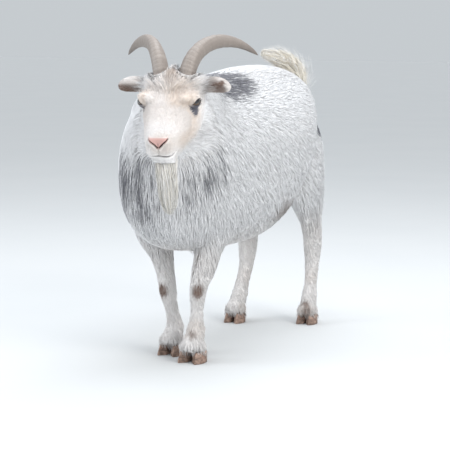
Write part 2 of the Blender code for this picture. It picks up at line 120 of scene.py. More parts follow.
def in_head(points):
    """Points in the head's own frame: to its left, back from the nose pad, up the forehead."""
    return (np.asarray(points) - HEAD_ORIGIN) @ HEAD_AXES


def from_head(points):
    return np.asarray(points) @ HEAD_AXES.T + HEAD_ORIGIN


def turn_from_head(directions):
    return np.asarray(directions) @ HEAD_AXES.T


def folded_head(points):
    """Points in the head's frame, with its right half folded onto the left."""
    folded = in_head(points)
    folded[:, 0] = abs(folded[:, 0])
    return folded


# ---- numbers over a surface -----------------------------------------------------------------------
def ramp(value, start, end):
    """0 at start and 1 at end, smooth between and flat beyond."""
    t = np.clip((value - start) / (end - start), 0, 1)
    return t * t * (3 - 2 * t)


def unit(vectors):
    return vectors / np.maximum(np.linalg.norm(vectors, axis=-1, keepdims=True), 1e-9)


def dot(first, second):
    return (first * second).sum(-1, keepdims=True)


def mottle(points, size, seed=0):
    """Smooth noise from 0 to 1 with patches about size across."""
    scaled = np.asarray(points) / size + 61.7 * (seed + 1)
    cell = np.floor(scaled).astype(np.int64)
    part = scaled - cell
    part = part * part * (3 - 2 * part)
    total = np.zeros(len(scaled))
    for corner in np.ndindex(2, 2, 2):
        corner = np.array(corner)
        place = cell + corner
        # a number for each cell, as good as random
        mixed = place[:, 0] * 73856093 ^ place[:, 1] * 19349663 ^ place[:, 2] * 83492791
        mixed = (mixed ^ (mixed >> 13)) * 1274126177 & 0x7FFFFFFF
        mixed = (mixed ^ (mixed >> 11)) & 0xFFFF
        share = np.where(corner, part, 1 - part).prod(1)
        total += share * mixed / 0xFFFF
    return total


def blob(points, centre, radii, edge=0.35):
    """1 inside an ellipsoid, falling to 0 over the share edge of its radii."""
    away = np.linalg.norm((points - np.asarray(centre)) / np.asarray(radii), axis=1)
    return 1 - ramp(away, 1 - edge, 1 + edge)


def along_path(points, path):
    """How far along a path each point lies, in metres, and its distance from the path."""
    path = np.asarray(path, float)
    best = np.full(len(points), np.inf)
    where = np.zeros(len(points))
    gone = 0.0
    for start, end in zip(path, path[1:]):
        step = end - start
        length = np.linalg.norm(step)
        t = np.clip((points - start) @ step / length**2, 0, 1)
        away = np.linalg.norm(points - (start + t[:, None] * step), axis=1)
        nearer = away < best
        best = np.where(nearer, away, best)
        where = np.where(nearer, gone + t * length, where)
        gone += length
    return where, best


def lengths_of(path):
    """How far along a path each of its own points lies."""
    return np.concatenate([[0], np.cumsum(np.linalg.norm(np.diff(path, axis=0), axis=1))])


def places_on(path, lengths, where):
    """The places that lie so far along a path."""
    return np.stack([np.interp(where, lengths, path[:, axis]) for axis in range(3)], -1)


def through(points, between):
    """Points on a smooth curve through the given ones."""
    padded = np.vstack([2 * points[0] - points[1], points, 2 * points[-1] - points[-2]])
    made = []
    for index in range(1, len(padded) - 2):
        before, start, end, after = padded[index - 1:index + 3]
        for step in range(between):
            t = step / between
            made.append(0.5 * (
                2 * start + (end - before) * t + (2 * before - 5 * start + 4 * end - after) * t**2
                + (3 * start - before - 3 * end + after) * t**3
            ))
    made.append(points[-1])
    return np.array(made)


# ---- meshes ---------------------------------------------------------------------------------------
def numbers(items, name, width=1, kind=np.float32):
    found = np.empty(len(items) * width, kind)
    items.foreach_get(name, found)
    return found.reshape(-1, width).astype(float if kind is np.float32 else kind)


def points_of(mesh):
    return numbers(mesh.vertices, "co", 3)


def move_points(mesh, points):
    mesh.vertices.foreach_set("co", np.asarray(points, np.float32).ravel())
    mesh.update()


def store(mesh, name, values, kind="FLOAT"):
    """Writes one number or vector for each point on the mesh, for the materials and the coat."""
    attribute = mesh.attributes.get(name) or mesh.attributes.new(name, kind, "POINT")
    field = "value" if kind == "FLOAT" else "vector"
    attribute.data.foreach_set(field, np.asarray(values, np.float32).ravel())


def read(mesh, name, width=1):
    found = numbers(mesh.attributes[name].data, "value" if width == 1 else "vector", width)
    return found[:, 0] if width == 1 else found


def new_object(name, mesh):
    obj = bpy.data.objects.new(name, mesh)
    bpy.context.scene.collection.objects.link(obj)
    return obj


def settled(obj):
    """The object's mesh with its modifiers applied, as a plain mesh on the same object."""
    bpy.context.view_layer.update()
    evaluated = obj.evaluated_get(bpy.context.evaluated_depsgraph_get())
    mesh = bpy.data.meshes.new_from_object(evaluated)
    obj.modifiers.clear()
    old, obj.data = obj.data, mesh
    if old.users == 0:
        bpy.data.meshes.remove(old)
    mesh.name = obj.name
    return mesh


def copy_of(name, nodes):
    """A merged copy of some of the frame's nodes, as one object."""
    shape = bmesh.new()
    for node in nodes:
        shape.from_mesh(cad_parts[node].data)
    bmesh.ops.remove_doubles(shape, verts=shape.verts, dist=1e-5)
    mesh = bpy.data.meshes.new(name)
    shape.to_mesh(mesh)
    shape.free()
    return new_object(name, mesh)


def remeshed(obj, voxel, rounds):
    """One even closed surface over obj, with its facets smoothed out."""
    voxels = obj.modifiers.new("voxels", "REMESH")
    voxels.mode = "VOXEL"
    voxels.voxel_size = voxel
    rounding = obj.modifiers.new("rounding", "SMOOTH")
    rounding.factor = 0.5
    rounding.iterations = rounds
    return settled(obj)


def spread(mesh, values, rounds):
    """Averages numbers over each point's neighbours, round after round."""
    edges = numbers(mesh.edges, "vertices", 2, np.int32)
    count = len(mesh.vertices)
    degree = np.bincount(edges.ravel(), minlength=count)[:, None] + 1.0
    first, second = edges.T
    for _ in range(rounds):
        total = values.copy()
        for column in range(values.shape[1]):
            total[:, column] += np.bincount(first, values[second, column], count)
            total[:, column] += np.bincount(second, values[first, column], count)
        values = total / degree
    return values


def finish_piece(obj, material, slot, *nodes):
    """Gives a piece its material and its place among the frame's parts."""
    obj.data.materials.clear()
    obj.data.materials.append(material)
    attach(obj, "root")
    if nodes:
        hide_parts(*nodes)


# ---- node trees -----------------------------------------------------------------------------------
def put(tree, kind, inputs=None, **settings):
    """Adds a node, with its settings, and its inputs as numbers or as sockets to link."""
    made = tree.nodes.new(kind)
    for name, value in settings.items():
        setattr(made, name, value)
    for name, value in (inputs or {}).items():
        socket = made.inputs[name]
        if isinstance(value, bpy.types.NodeSocket):
            tree.links.new(value, socket)
        else:
            socket.default_value = value
    return made


def group(name, kind, inputs, outputs):
    """A node group with named inputs, (kind, default) each, and named outputs."""
    tree = bpy.data.node_groups.new(name, kind)
    for label, (socket_kind, default) in inputs.items():
        socket = tree.interface.new_socket(label, in_out="INPUT", socket_type=socket_kind)
        if default is not None:
            socket.default_value = default
    for label, socket_kind in outputs.items():
        tree.interface.new_socket(label, in_out="OUTPUT", socket_type=socket_kind)
    return tree, tree.nodes.new("NodeGroupInput").outputs, tree.nodes.new("NodeGroupOutput").inputs


def blank_material(name):
    material = bpy.data.materials.new(name)
    material.use_nodes = True
    tree = material.node_tree
    tree.nodes.clear()
    shader = tree.nodes.new("ShaderNodeBsdfPrincipled")
    output = tree.nodes.new("ShaderNodeOutputMaterial")
    tree.links.new(shader.outputs["BSDF"], output.inputs["Surface"])
    return material, tree, shader


def set_inputs(shader, values):
    for name, value in values.items():
        shader.inputs[name].default_value = value


def maths(tree, operation, first, second=0.5, third=None):
    node = put(tree, "ShaderNodeMath", operation=operation)
    for socket, value in zip(node.inputs, (first, second, third)):
        if isinstance(value, bpy.types.NodeSocket):
            tree.links.new(value, socket)
        elif value is not None:
            socket.default_value = value
    return node.outputs[0]


def mixed(tree, factor, first, second, blend="MIX"):
    """first turning into second as factor goes from 0 to 1, as a colour."""
    node = put(tree, "ShaderNodeMix", data_type="RGBA", blend_type=blend)
    for index, value in ((0, factor), (6, first), (7, second)):
        if isinstance(value, bpy.types.NodeSocket):
            tree.links.new(value, node.inputs[index])
        else:
            node.inputs[index].default_value = value
    return node.outputs[2]


def steps(tree, value, low, high, low_to=0.0, high_to=1.0):
    inputs = {"Value": value, "From Min": low, "From Max": high, "To Min": low_to, "To Max": high_to}
    return put(tree, "ShaderNodeMapRange", inputs, interpolation_type="SMOOTHSTEP").outputs[0]


def attribute(tree, name, output="Fac"):
    return put(tree, "ShaderNodeAttribute", attribute_name=name).outputs[output]


def noise(tree, place, scale, detail):
    """Soft noise from 0 to 1."""
    return put(tree, "ShaderNodeTexNoise", {"Vector": place, "Scale": scale, "Detail": detail}).outputs["Fac"]


def vectors(tree, operation, first, second, output="Vector"):
    """A sum, difference, product or dot product of two vectors."""
    node = put(tree, "ShaderNodeVectorMath", {0: first}, operation=operation)
    socket = node.inputs["Scale"] if operation == "SCALE" else node.inputs[1]
    tree.links.new(second, socket)
    return node.outputs[output]


def object_place(tree):
    return put(tree, "ShaderNodeTexCoord").outputs["Object"]


def finish(tree, shader, shade, height=None, strength=0.5, distance=0.001, roughness=None):
    """Links a material's colour, the height of its bump and its roughness."""
    tree.links.new(shade, shader.inputs["Base Color"])
    if height is not None:
        bump = put(tree, "ShaderNodeBump", {"Height": height, "Strength": strength, "Distance": distance})
        tree.links.new(bump.outputs["Normal"], shader.inputs["Normal"])
    if roughness is not None:
        tree.links.new(roughness, shader.inputs["Roughness"])


def colour(values, strength=1.0, lift=0.0):
    """A colour with its alpha, made darker or paler by strength and lift."""
    return (*(min(1.0, strength * value + lift) for value in values[:3]), 1.0)


# ---- sizes and colours a user may change ----------------------------------------------------------
def metres(name, description, default, low, high):
    return bpy.props.FloatProperty(
        name=name, description=description, default=default, min=low, max=high,
        unit="LENGTH", precision=4,
    )


def factor(name, description, default, low=0.0, high=2.0):
    return bpy.props.FloatProperty(
        name=name, description=description, default=default, min=low, max=high, subtype="FACTOR",
    )


def tint(name, description, default):
    return bpy.props.FloatVectorProperty(
        name=name, description=description, default=default, size=3, min=0, max=1, subtype="COLOR",
    )


class GoatSizes(bpy.types.PropertyGroup):
    """Sizes of the skin and the coat."""

    skin_voxel: metres("Skin grain", "Size of the skin's mesh before it is thinned", 0.0022, 0.001, 0.01)
    coat_depth: metres("Coat depth", "Depth of the coat over the ribs", 0.0090, 0.002, 0.03)
    coat_length: metres("Hair length", "Length of a lock over the ribs", 0.0440, 0.01, 0.12)
    lock_width: metres("Lock width", "Width of a lock over the ribs", 0.0023, 0.001, 0.01)
    lock_flatness: factor("Lock flatness", "A lock's thickness as a share of its width", 0.30, 0.1, 1.0)
    softness: factor("Softness", "How far a lock is shaded like the coat round it", 0.82, 0.0, 1.0)
    coat_count: bpy.props.IntProperty(
        name="Locks", description="Locks on the trunk", default=43500, min=1000, max=60000,
    )
    map_patch: metres("Map patch", "Side of each lock's patch on the coat's map", 0.003, 0.001, 0.01)


class GoatColours(bpy.types.PropertyGroup):
    """Colours of the skin, the coat and the horn."""

    white: tint("White", "White hair", (0.90, 0.895, 0.90))
    cream: tint("Cream", "Beard and tail hair", (0.90, 0.80, 0.60))
    buff: tint("Buff", "Warm tinge of the face and legs", (0.74, 0.63, 0.545))
    grey: tint("Grey", "Dark hair of the patches", (0.130, 0.130, 0.155))
    # this brown also paints shade at the groin, at the left ear's root and on the ears' lower sides
    brown: tint("Brown", "Hair and callus of the knees, and the ears' dark hair", (0.185, 0.115, 0.085))
    pink: tint("Pink", "Bare skin of the nose", (0.70, 0.43, 0.385))
    horn: tint("Horn", "Horn", (0.245, 0.208, 0.182))
    hoof: tint("Hoof", "Hoof", (0.25, 0.160, 0.118))
    iris: tint("Iris", "Iris of the eyes", (0.13, 0.070, 0.032))


def sizes():
    return bpy.context.scene.goat_sizes


def colours():
    return bpy.context.scene.goat_colours


# ---- markings -------------------------------------------------------------------------------------
# Patches of colour: the frame each lies in, its middle, half sizes, the softness of its edge and its
# strength. "row" is the row's frame, "loose" is that frame with ragged edges, "callus" is less
# ragged and "head" is the head's frame.
WITHERS = ("loose", (0.033, -0.090, 0.680), (0.105, 0.135, 0.075), 0.30, 0.72)
CHEST = (
    ("loose", (-0.092, -0.315, 0.472), (0.046, 0.055, 0.064), 0.6, 0.80),
    ("loose", (-0.125, -0.285, 0.425), (0.036, 0.060, 0.062), 0.6, 0.80),
    ("loose", (-0.032, -0.325, 0.440), (0.056, 0.052, 0.064), 0.6, 0.70),
    ("loose", (0.114, -0.252, 0.490), (0.028, 0.045, 0.040), 0.6, 0.60),
    ("loose", (0.078, -0.292, 0.450), (0.036, 0.040, 0.050), 0.6, 0.42),
)
GREY_PATCHES = (
    # under the left eye and behind it, under the right eye, beside the tail
    ("head", (0.059, 0.110, 0.034), (0.016, 0.0130, 0.018), 0.35, 1.20),
    ("head", (0.062, 0.133, 0.041), (0.012, 0.010, 0.009), 0.4, 1.08),
    ("head", (-0.063, 0.100, 0.036), (0.012, 0.010, 0.013), 0.4, 0.80),
    ("row", (0.110, 0.350, 0.552), (0.022, 0.034, 0.040), 0.3, 1.00),
)
BROWN_AND_SHADE_PATCHES = (
    # the groin's darker skin under painted shade, the two front knees, a front fetlock, a hind fetlock and
    # painted shadow at the left ear's root
    ("loose", (0.128, 0.110, 0.358), (0.045, 0.052, 0.030), 0.5, 0.75),
    ("callus", (0.050, -0.211, 0.182), (0.0125, 0.020, 0.019), 0.35, 1.00),
    ("callus", (-0.069, -0.172, 0.166), (0.0125, 0.020, 0.019), 0.35, 1.00),
    ("row", (0.034, -0.210, 0.072), (0.010, 0.012, 0.010), 0.6, 0.70),
    ("loose", (0.080, 0.338, 0.052), (0.018, 0.016, 0.026), 0.4, 0.75),
    ("row", (0.126, -0.300, 0.655), (0.016, 0.018, 0.022), 0.7, 0.45),
)
CROWN_SPOT = ("head", (0.002, 0.138, 0.104), (0.014, 0.030, 0.022), 0.6, 1.00)


def nose_pad(head):
    """1 on the bare nose, which is wide above and narrows to the groove of the lip."""
    across, back, up = head.T
    half = 0.0040 + 0.0175 * ramp(up, -0.014, 0.006)
    within = 1 - ramp(abs(across) - half, -0.0015, 0.0020)
    tall = ramp(up, -0.0165, -0.0130) * (1 - ramp(up, 0.0085, 0.0130))
    return within * tall * (1 - ramp(back, 0.009, 0.015))


def strongest(frames, patches):
    """The strongest of some patches at each point."""
    strengths = [strength * blob(frames[where], *shape) for where, *shape, strength in patches]
    return np.maximum.reduce(strengths)


def ear_shade(points, head):
    """The brown of the ears: below on both, where it is partly painted shade, in spots on the right and
    inside on the left.
    """
    brown = np.zeros(len(points))
    for side, hand in HANDS.items():
        low, high = (np.array(corner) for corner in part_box("ear_" + side))
        boxed = ((points > low - 0.004) & (points < high + 0.004)).all(1)
        on_ear = boxed * ramp(abs(head[:, 0]), 0.070, 0.082)
        share = (points - low) / (high - low)
        down = -share[:, 2]
        if hand > 0:
            out = share[:, 0]
            spots = 0.9 * blob(np.stack([out, share[:, 2]], 1), (0.62, 0.60), (0.12, 0.22), 0.5)
            under = 1.05 * ramp(down, -0.95, -0.45) * (1 - ramp(out, 0.62, 0.82)) * ramp(out, -0.15, 0.35)
        else:
            out = 1 - share[:, 0]
            spots = ramp(mottle(points, 0.008, 5), 0.44, 0.56) * ramp(out, 0.60, 0.78)
            under = ramp(down, -0.76, -0.34)
        # the brown below is partly brown hair and partly painted shade on the ears' lower sides
        under = under * (0.60 + 0.6 * mottle(points, 0.02, 4))
        shade = np.maximum(under, 1.1 * spots * ramp(down, -0.95, -0.7))
        brown = np.maximum(brown, on_ear * np.clip(shade, 0, 1))
    return brown


def face_warmth(points, head):
    """The buff of the face and of the ears' roots, palest on the muzzle."""
    across, back, up = head.T
    face = ramp(-back, -0.19, -0.10) * ramp(up, -0.07, -0.01) * ramp(-abs(across), -0.09, -0.06)
    face = face * (0.65 + 0.35 * ramp(back, 0.015, 0.06))
    ear_root = ramp(abs(across), 0.060, 0.080) * ramp(-abs(back - 0.17), -0.045, -0.020)
    ear_root = ear_root * ramp(up, 0.010, 0.030)
    return np.maximum(face * (0.50 + 0.45 * ramp(mottle(points, 0.045, 6), 0.35, 0.75)), 0.45 * ear_root)


def markings(points):
    """The coat's markings at each point, 0 to 1: grey, brown, cream, buff, pink; the brown holds some painted
    shade.
    """
    head = in_head(points)
    rough = mottle(points, 0.030, 1) - 0.5
    fine = mottle(points, 0.011, 2) - 0.5
    loose = points + 0.022 * rough[:, None] + 0.010 * fine[:, None]
    frames = {"row": points, "loose": loose, "callus": 0.85 * points + 0.15 * loose, "head": head}
    behind_head = ramp(head[:, 1], 0.185, 0.225)
    streaks = 0.55 + 0.9 * (mottle(points * (1, 1, 0.22), 0.014, 3) - 0.35)
    body_grey = np.maximum(behind_head * strongest(frames, [WITHERS]), streaks * strongest(frames, CHEST))
    crown_spot = strongest(frames, [CROWN_SPOT])
    down = -points[:, 2]
    lower_legs = ramp(down, -0.26, -0.08) * (0.15 + 0.35 * ramp(mottle(points, 0.05, 8), 0.3, 0.8))
    belly = 0.25 * ramp(down, -0.36, -0.27)
    on_tail = ramp(points[:, 1], 0.345, 0.375) * ramp(points[:, 2], 0.620, 0.645)
    # the brown holds painted shade at the groin, at the left ear's root and on the ears' lower sides
    brown = np.maximum(strongest(frames, BROWN_AND_SHADE_PATCHES), ear_shade(points, head))
    return {
        "grey": np.maximum(body_grey, strongest(frames, GREY_PATCHES)),
        "brown": np.maximum(brown, 0.42 * crown_spot),
        "cream": 0.75 * on_tail,
        "buff": np.maximum.reduce([face_warmth(points, head), crown_spot, lower_legs, belly]),
        "pink": nose_pad(head),
    }


MARKS = ("grey", "brown", "cream", "buff", "pink")


def coat_colour_group():
    """Hair colour from the markings, with each lock's own tone, its strands and its warmer root."""
    inputs = {name: ("NodeSocketFloat", 0.0) for name in MARKS}
    inputs |= {
        "tone": ("NodeSocketFloat", 0.5),
        "along": ("NodeSocketFloat", 0.5),
        "strand": ("NodeSocketVector", None),
        "fineness": ("NodeSocketFloat", 6.0),
    }
    outputs = {"Colour": "NodeSocketColor", "Height": "NodeSocketFloat"}
    tree, given, out = group("Coat colour", "ShaderNodeTree", inputs, outputs)
    shades = colours()
    hair = mixed(tree, given["cream"], colour(shades.white), colour(shades.cream))
    root = steps(tree, given["along"], 0.0, 0.55, 0.15, 0.0)
    hair = mixed(tree, root, hair, colour(shades.buff))
    for name in ("buff", "brown", "grey", "pink"):
        hair = mixed(tree, given[name], hair, colour(getattr(shades, name)))
    fibres = noise(tree, given["strand"], given["fineness"], 2.0)
    tone = maths(tree, "MULTIPLY_ADD", given["tone"], 0.15, 0.895)
    streak = steps(tree, fibres, 0.30, 0.70, 0.90, 1.06)
    both = maths(tree, "MULTIPLY", tone, streak)
    tree.links.new(mixed(tree, 1.0, hair, both, "MULTIPLY"), out["Colour"])
    tree.links.new(fibres, out["Height"])
    return tree


def coat_colour(tree, **inputs):
    """The coat colour group placed in a material, fed by the piece's own attributes."""
    made = bpy.data.node_groups.get("Coat colour") or coat_colour_group()
    node = put(tree, "ShaderNodeGroup", node_tree=made)
    for name in MARKS:
        tree.links.new(attribute(tree, name), node.inputs[name])
    for name, value in inputs.items():
        if isinstance(value, bpy.types.NodeSocket):
            tree.links.new(value, node.inputs[name])
        else:
            node.inputs[name].default_value = value
    return node.outputs


def coat_material():
    """The coat's material, made once for all its pieces."""
    name = "coat"
    if name in bpy.data.materials:
        return bpy.data.materials[name]
    material, tree, shader = blank_material(name)
    hair = coat_colour(
        tree,
        tone=attribute(tree, "tone"),
        along=attribute(tree, "along"),
        strand=attribute(tree, "strand", "Vector"),
        fineness=5.0,
    )
    finish(tree, shader, hair["Colour"], hair["Height"], 0.35, 0.0006)
    set_inputs(shader, {
        "Roughness": 0.70, "Specular IOR Level": 0.22, "Sheen Weight": 0.15, "Sheen Roughness": 0.5,
    })
    return material


def skin_material():
    """Short hair combed along the coat's lie, and bare skin on the nose, the lips and the lids."""
    material, tree, shader = blank_material("skin")
    place = object_place(tree)
    lie = attribute(tree, "lie", "Vector")
    along = vectors(tree, "DOT_PRODUCT", place, lie, "Value")
    back = vectors(tree, "SCALE", lie, maths(tree, "MULTIPLY", along, 0.75))
    hair = coat_colour(
        tree,
        tone=noise(tree, place, 60.0, 3.0),
        along=0.45,
        strand=vectors(tree, "SUBTRACT", place, back),
        fineness=900.0,
    )
    # near black on the lids' rims, and painted shade in the nostrils, the mouth's line and the groove
    shade = mixed(tree, attribute(tree, "rim"), hair["Colour"], (0.030, 0.022, 0.020, 1.0))
    bare = attribute(tree, "bare")
    grain = put(tree, "ShaderNodeTexVoronoi", {"Vector": place, "Scale": 700.0}).outputs["Distance"]
    hair_height = maths(tree, "MULTIPLY", hair["Height"], maths(tree, "SUBTRACT", 1.0, bare))
    skin_height = maths(tree, "MULTIPLY", grain, maths(tree, "MULTIPLY", bare, 0.5))
    height = maths(tree, "ADD", hair_height, skin_height)
    finish(tree, shader, shade, height, 0.6, 0.0008, steps(tree, bare, 0.0, 1.0, 0.72, 0.42))
    set_inputs(shader, {"Specular IOR Level": 0.35})
    return material


# ---- the skin -------------------------------------------------------------------------------------
SKIN_TRIANGLES = 130_000   # before the folds of the head are made finer


def region_shares(mesh, rounds=40):
    """How much each region's way of growing hair holds at each point of the skin."""
    corners, faces, owner = [], [], []
    for index, names in enumerate(REGIONS.values()):
        for name in names:
            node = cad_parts[name].data
            base = len(corners)
            corners.extend(points_of(node).tolist())
            for polygon in node.polygons:
                faces.append([base + i for i in polygon.vertices])
                owner.append(index)
    tree = BVHTree.FromPolygons(corners, faces)
    owner = np.array(owner)
    nearest = [tree.find_nearest(point)[2] for point in points_of(mesh).tolist()]
    shares = np.eye(len(REGIONS))[owner[nearest]]
    return spread(mesh, shares, rounds)


def by_share(shares, values):
    """The regions' values, each by the share that it holds at a point."""
    return sum(shares[:, column] * values[name] for column, name in enumerate(REGIONS))


def coat_depth(points, shares):
    """Depth from the coat's outer surface to the skin."""
    depth = sizes().coat_depth
    _, back, up = in_head(points).T
    down = -points[:, 2]
    crown = ramp(back, 0.09, 0.15) * ramp(up, 0.02, 0.07)
    throat = ramp(back, 0.03, 0.12) * ramp(-up, 0.02, 0.06)
    chest = ramp(-points[:, 1], 0.05, 0.25) * ramp(down, -0.60, -0.45)
    low = ramp(down, -0.52, -0.36)
    return by_share(shares, {
        "head": 0.0020 + 0.0050 * np.maximum(crown, throat),
        "ear": 0.0008,
        "neck": 0.90 * depth,
        "trunk": depth * (0.65 + 0.30 * low + 0.45 * chest),
        "tail": 0.0165,
        "leg": 0.0022 + 0.0090 * ramp(points[:, 2], 0.17, 0.34),
    })


def eye_axes(side):
    """An eye's slit, its height and its outward look, in the row frame."""
    hand = HANDS[side]
    look = unit(turn_from_head([hand * 0.80, -0.57, 0.14]))
    slit = turn_from_head([hand * 0.30, 0.93, 0.20])
    slit = unit(slit - dot(slit, look) * look)
    height = np.cross(slit, look)
    return slit, height if height[2] > 0 else -height, look


LID_LENGTH = 0.98     # half the opening's length, as an angle round the ball
LID_HEIGHT = 0.37     # half its height
LID_SHIFT = (0.05, -0.14)   # the opening's middle, back and up from the look
LID_EDGE = 0.0012     # the lid's edge stands this far over the ball


def lid_opening(points, side):
    """How far each point lies from the middle of the lids' opening, 1 on its edge."""
    slit, height, look = eye_axes(side)
    away = points - np.array(EYES[side])
    ahead = away @ look
    u = np.arctan2(away @ slit, ahead) - LID_SHIFT[0]
    w = np.arctan2(away @ height, ahead) - LID_SHIFT[1]
    # the opening narrows to its two corners
    span = np.clip(1 - (u / (LID_LENGTH * 1.12)) ** 2, 0.02, 1)
    opening = np.sqrt((w / (LID_HEIGHT * span)) ** 2 + (u / (LID_LENGTH * 1.15)) ** 2)
    return np.where(ahead > 0, opening, 9.0), w


def from_eye(points, side):
    """Each point's distance from the middle of an eye."""
    return np.linalg.norm(points - np.array(EYES[side]), axis=1)


def over_eye(points):
    """True for points that hang over an open eye."""
    flat = points.reshape(-1, 3)
    over = np.zeros(len(flat), bool)
    for side in HANDS:
        opening, _ = lid_opening(flat, side)
        over |= (opening < 1.25) & (from_eye(flat, side) < 1.8 * EYE_RADIUS)
    return over.reshape(points.shape[:-1])


def sculpt_lids(points):
    """Opens the lids over each eye, with a thick edge and a fold round them, and marks their rims."""
    rim = np.zeros(len(points))
    for side in HANDS:
        centre = np.array(EYES[side])
        opening, above = lid_opening(points, side)
        away = points - centre
        distance = np.linalg.norm(away, axis=1)
        near = (distance < 2.4 * EYE_RADIUS) & ((opening < 2.6) | (distance < EYE_RADIUS + 0.0026))
        ray = away / distance[:, None]
        lid = EYE_RADIUS + LID_EDGE + 0.0014 * ramp(opening, 1.0, 1.30) * np.where(above > 0, 1.0, 0.7)
        lid -= 0.0012 * np.exp(-(((opening - 2.1) / 0.25) ** 2))   # the fold round them
        snug = 1 - ramp(opening, 1.4, 2.6)
        radius = snug * lid + (1 - snug) * np.maximum(distance, lid)
        open_ball = 1 - ramp(opening, 0.88, 1.06)
        radius = radius * (1 - open_ball) + (EYE_RADIUS - 0.0022) * open_ball
        wanted = centre + ray * radius[:, None]
        points = np.where(near[:, None], wanted, points)
        rim = np.maximum(rim, near * (1 - ramp(opening, 1.15, 1.45)))
    return points, rim


# paths in the head's frame on its left half
CREASES = {
    "mouth": [
        (0.0, -0.007, -0.0330), (0.012, -0.004, -0.0335), (0.022, 0.008, -0.0315),
        (0.029, 0.020, -0.0275),
    ],
    "nostril": [
        (0.0028, -0.0070, -0.0120), (0.0085, -0.0060, -0.0055), (0.0145, -0.0030, 0.0005),
        (0.0195, 0.0030, 0.0060),
    ],
    "philtrum": [(0.0, -0.009, -0.003), (0.0, -0.010, -0.016), (0.0, -0.008, -0.030)],
}


def on_skin(mesh, path):
    """A path in the head's frame, brought onto the skin."""
    faces = [polygon.vertices for polygon in mesh.polygons]
    tree = BVHTree.FromPolygons(points_of(mesh).tolist(), faces)
    spots = [tree.find_nearest(spot.tolist())[0] for spot in from_head(through(np.array(path), 3))]
    return in_head(np.array([tuple(spot) for spot in spots]))


def bell(value, middle, width, power=2):
    """1 at the middle, falling to 0 over about width on both sides."""
    return np.exp(-(((value - middle) / width) ** power))


def sculpt_muzzle(points, normals, creases):
    """Cuts the nostrils, the mouth and the groove between them.

    Returns the points, how much painted shade darkens each in a cut, and how bare its skin is.
    """
    head, folded = in_head(points), folded_head(points)
    _, away = along_path(folded, creases["mouth"])
    lip_line = bell(away, 0, 0.0016)
    bare_lip = bell(away, 0, 0.0040, 4)
    sink = 0.0030 * lip_line - 0.0009 * bell(away, 0.0050, 0.0030)
    where, away = along_path(folded, creases["nostril"])
    wide = 0.0021 - 0.0008 * np.clip(where / 0.027, 0, 1)
    hole = bell(away, 0, wide, 4)
    sink += 0.0050 * hole - 0.0010 * bell(away, wide + 0.0026, 0.0022)
    _, away = along_path(folded, creases["philtrum"])
    groove = bell(away, 0, 0.0016)
    wrinkle = np.sin(head[:, 1] * 900 + 3 * np.sin(head[:, 0] * 140))
    over_nose = blob(head, (0, 0.018, 0.018), (0.020, 0.014, 0.012), 0.5)
    sink += 0.0014 * groove + 0.0003 * wrinkle * over_nose
    # painted shade: near black in the nostrils and along the mouth's line, fainter in the groove
    inside = np.maximum.reduce([0.9 * lip_line, hole, 0.35 * groove])
    return points - normals * sink[:, None], inside, np.maximum(bare_lip, hole)


def finer(mesh, chosen):
    """Splits the faces whose points are all chosen."""
    shape = bmesh.new()
    shape.from_mesh(mesh)
    wanted = chosen(np.array([vert.co for vert in shape.verts]))
    edges = [edge for edge in shape.edges if wanted[edge.verts[0].index] and wanted[edge.verts[1].index]]
    bmesh.ops.subdivide_edges(shape, edges=edges, cuts=1, use_grid_fill=True, smooth=0.6)
    bmesh.ops.triangulate(shape, faces=shape.faces)
    shape.to_mesh(mesh)
    shape.free()


def detailed(points):
    """The parts of the head whose folds need a finer mesh."""
    _, back, up = in_head(points).T
    chosen = (back < 0.062) & (up < 0.030)
    for side in HANDS:
        chosen |= from_eye(points, side) < 1.9 * EYE_RADIUS
    return chosen


def creased(points, creases):
    """The edges of the lids, the mouth and the nostrils, whose mesh is finer still."""
    folded = folded_head(points)
    near = along_path(folded, creases["mouth"])[1] < 0.0035
    near |= along_path(folded, creases["nostril"])[1] < 0.0045
    for side in HANDS:
        opening, _ = lid_opening(points, side)
        near |= (abs(opening - 1.0) < 0.5) & (from_eye(points, side) < 1.5 * EYE_RADIUS)
    return near


def thin_body(obj):
    """Thins the mesh everywhere but on the head, down to the skin's budget."""
    across, back, up = in_head(points_of(obj.data)).T
    on_head = (back < 0.19) & (up > -0.10) & (abs(across) < 0.15)
    keep = obj.vertex_groups.new(name="thin")
    keep.add(np.flatnonzero(~on_head).tolist(), 1.0, "REPLACE")
    thinning = obj.modifiers.new("thinning", "DECIMATE")
    thinning.ratio = SKIN_TRIANGLES / (2 * len(obj.data.polygons))
    thinning.vertex_group = "thin"
    settled(obj)
    obj.vertex_groups.clear()


def unwrap(obj):
    """Lays the skin's own shape out flat, as the map that the coat shares."""
    for other in bpy.context.selected_objects:
        other.select_set(False)
    obj.data.uv_layers.new(name="OFBake")
    bpy.context.view_layer.objects.active = obj
    obj.select_set(True)
    bpy.ops.object.mode_set(mode="EDIT")
    bpy.ops.mesh.select_all(action="SELECT")
    bpy.ops.uv.smart_project(angle_limit=radians(66), island_margin=0.002, scale_to_bounds=True)
    bpy.ops.object.mode_set(mode="OBJECT")
    obj.select_set(False)


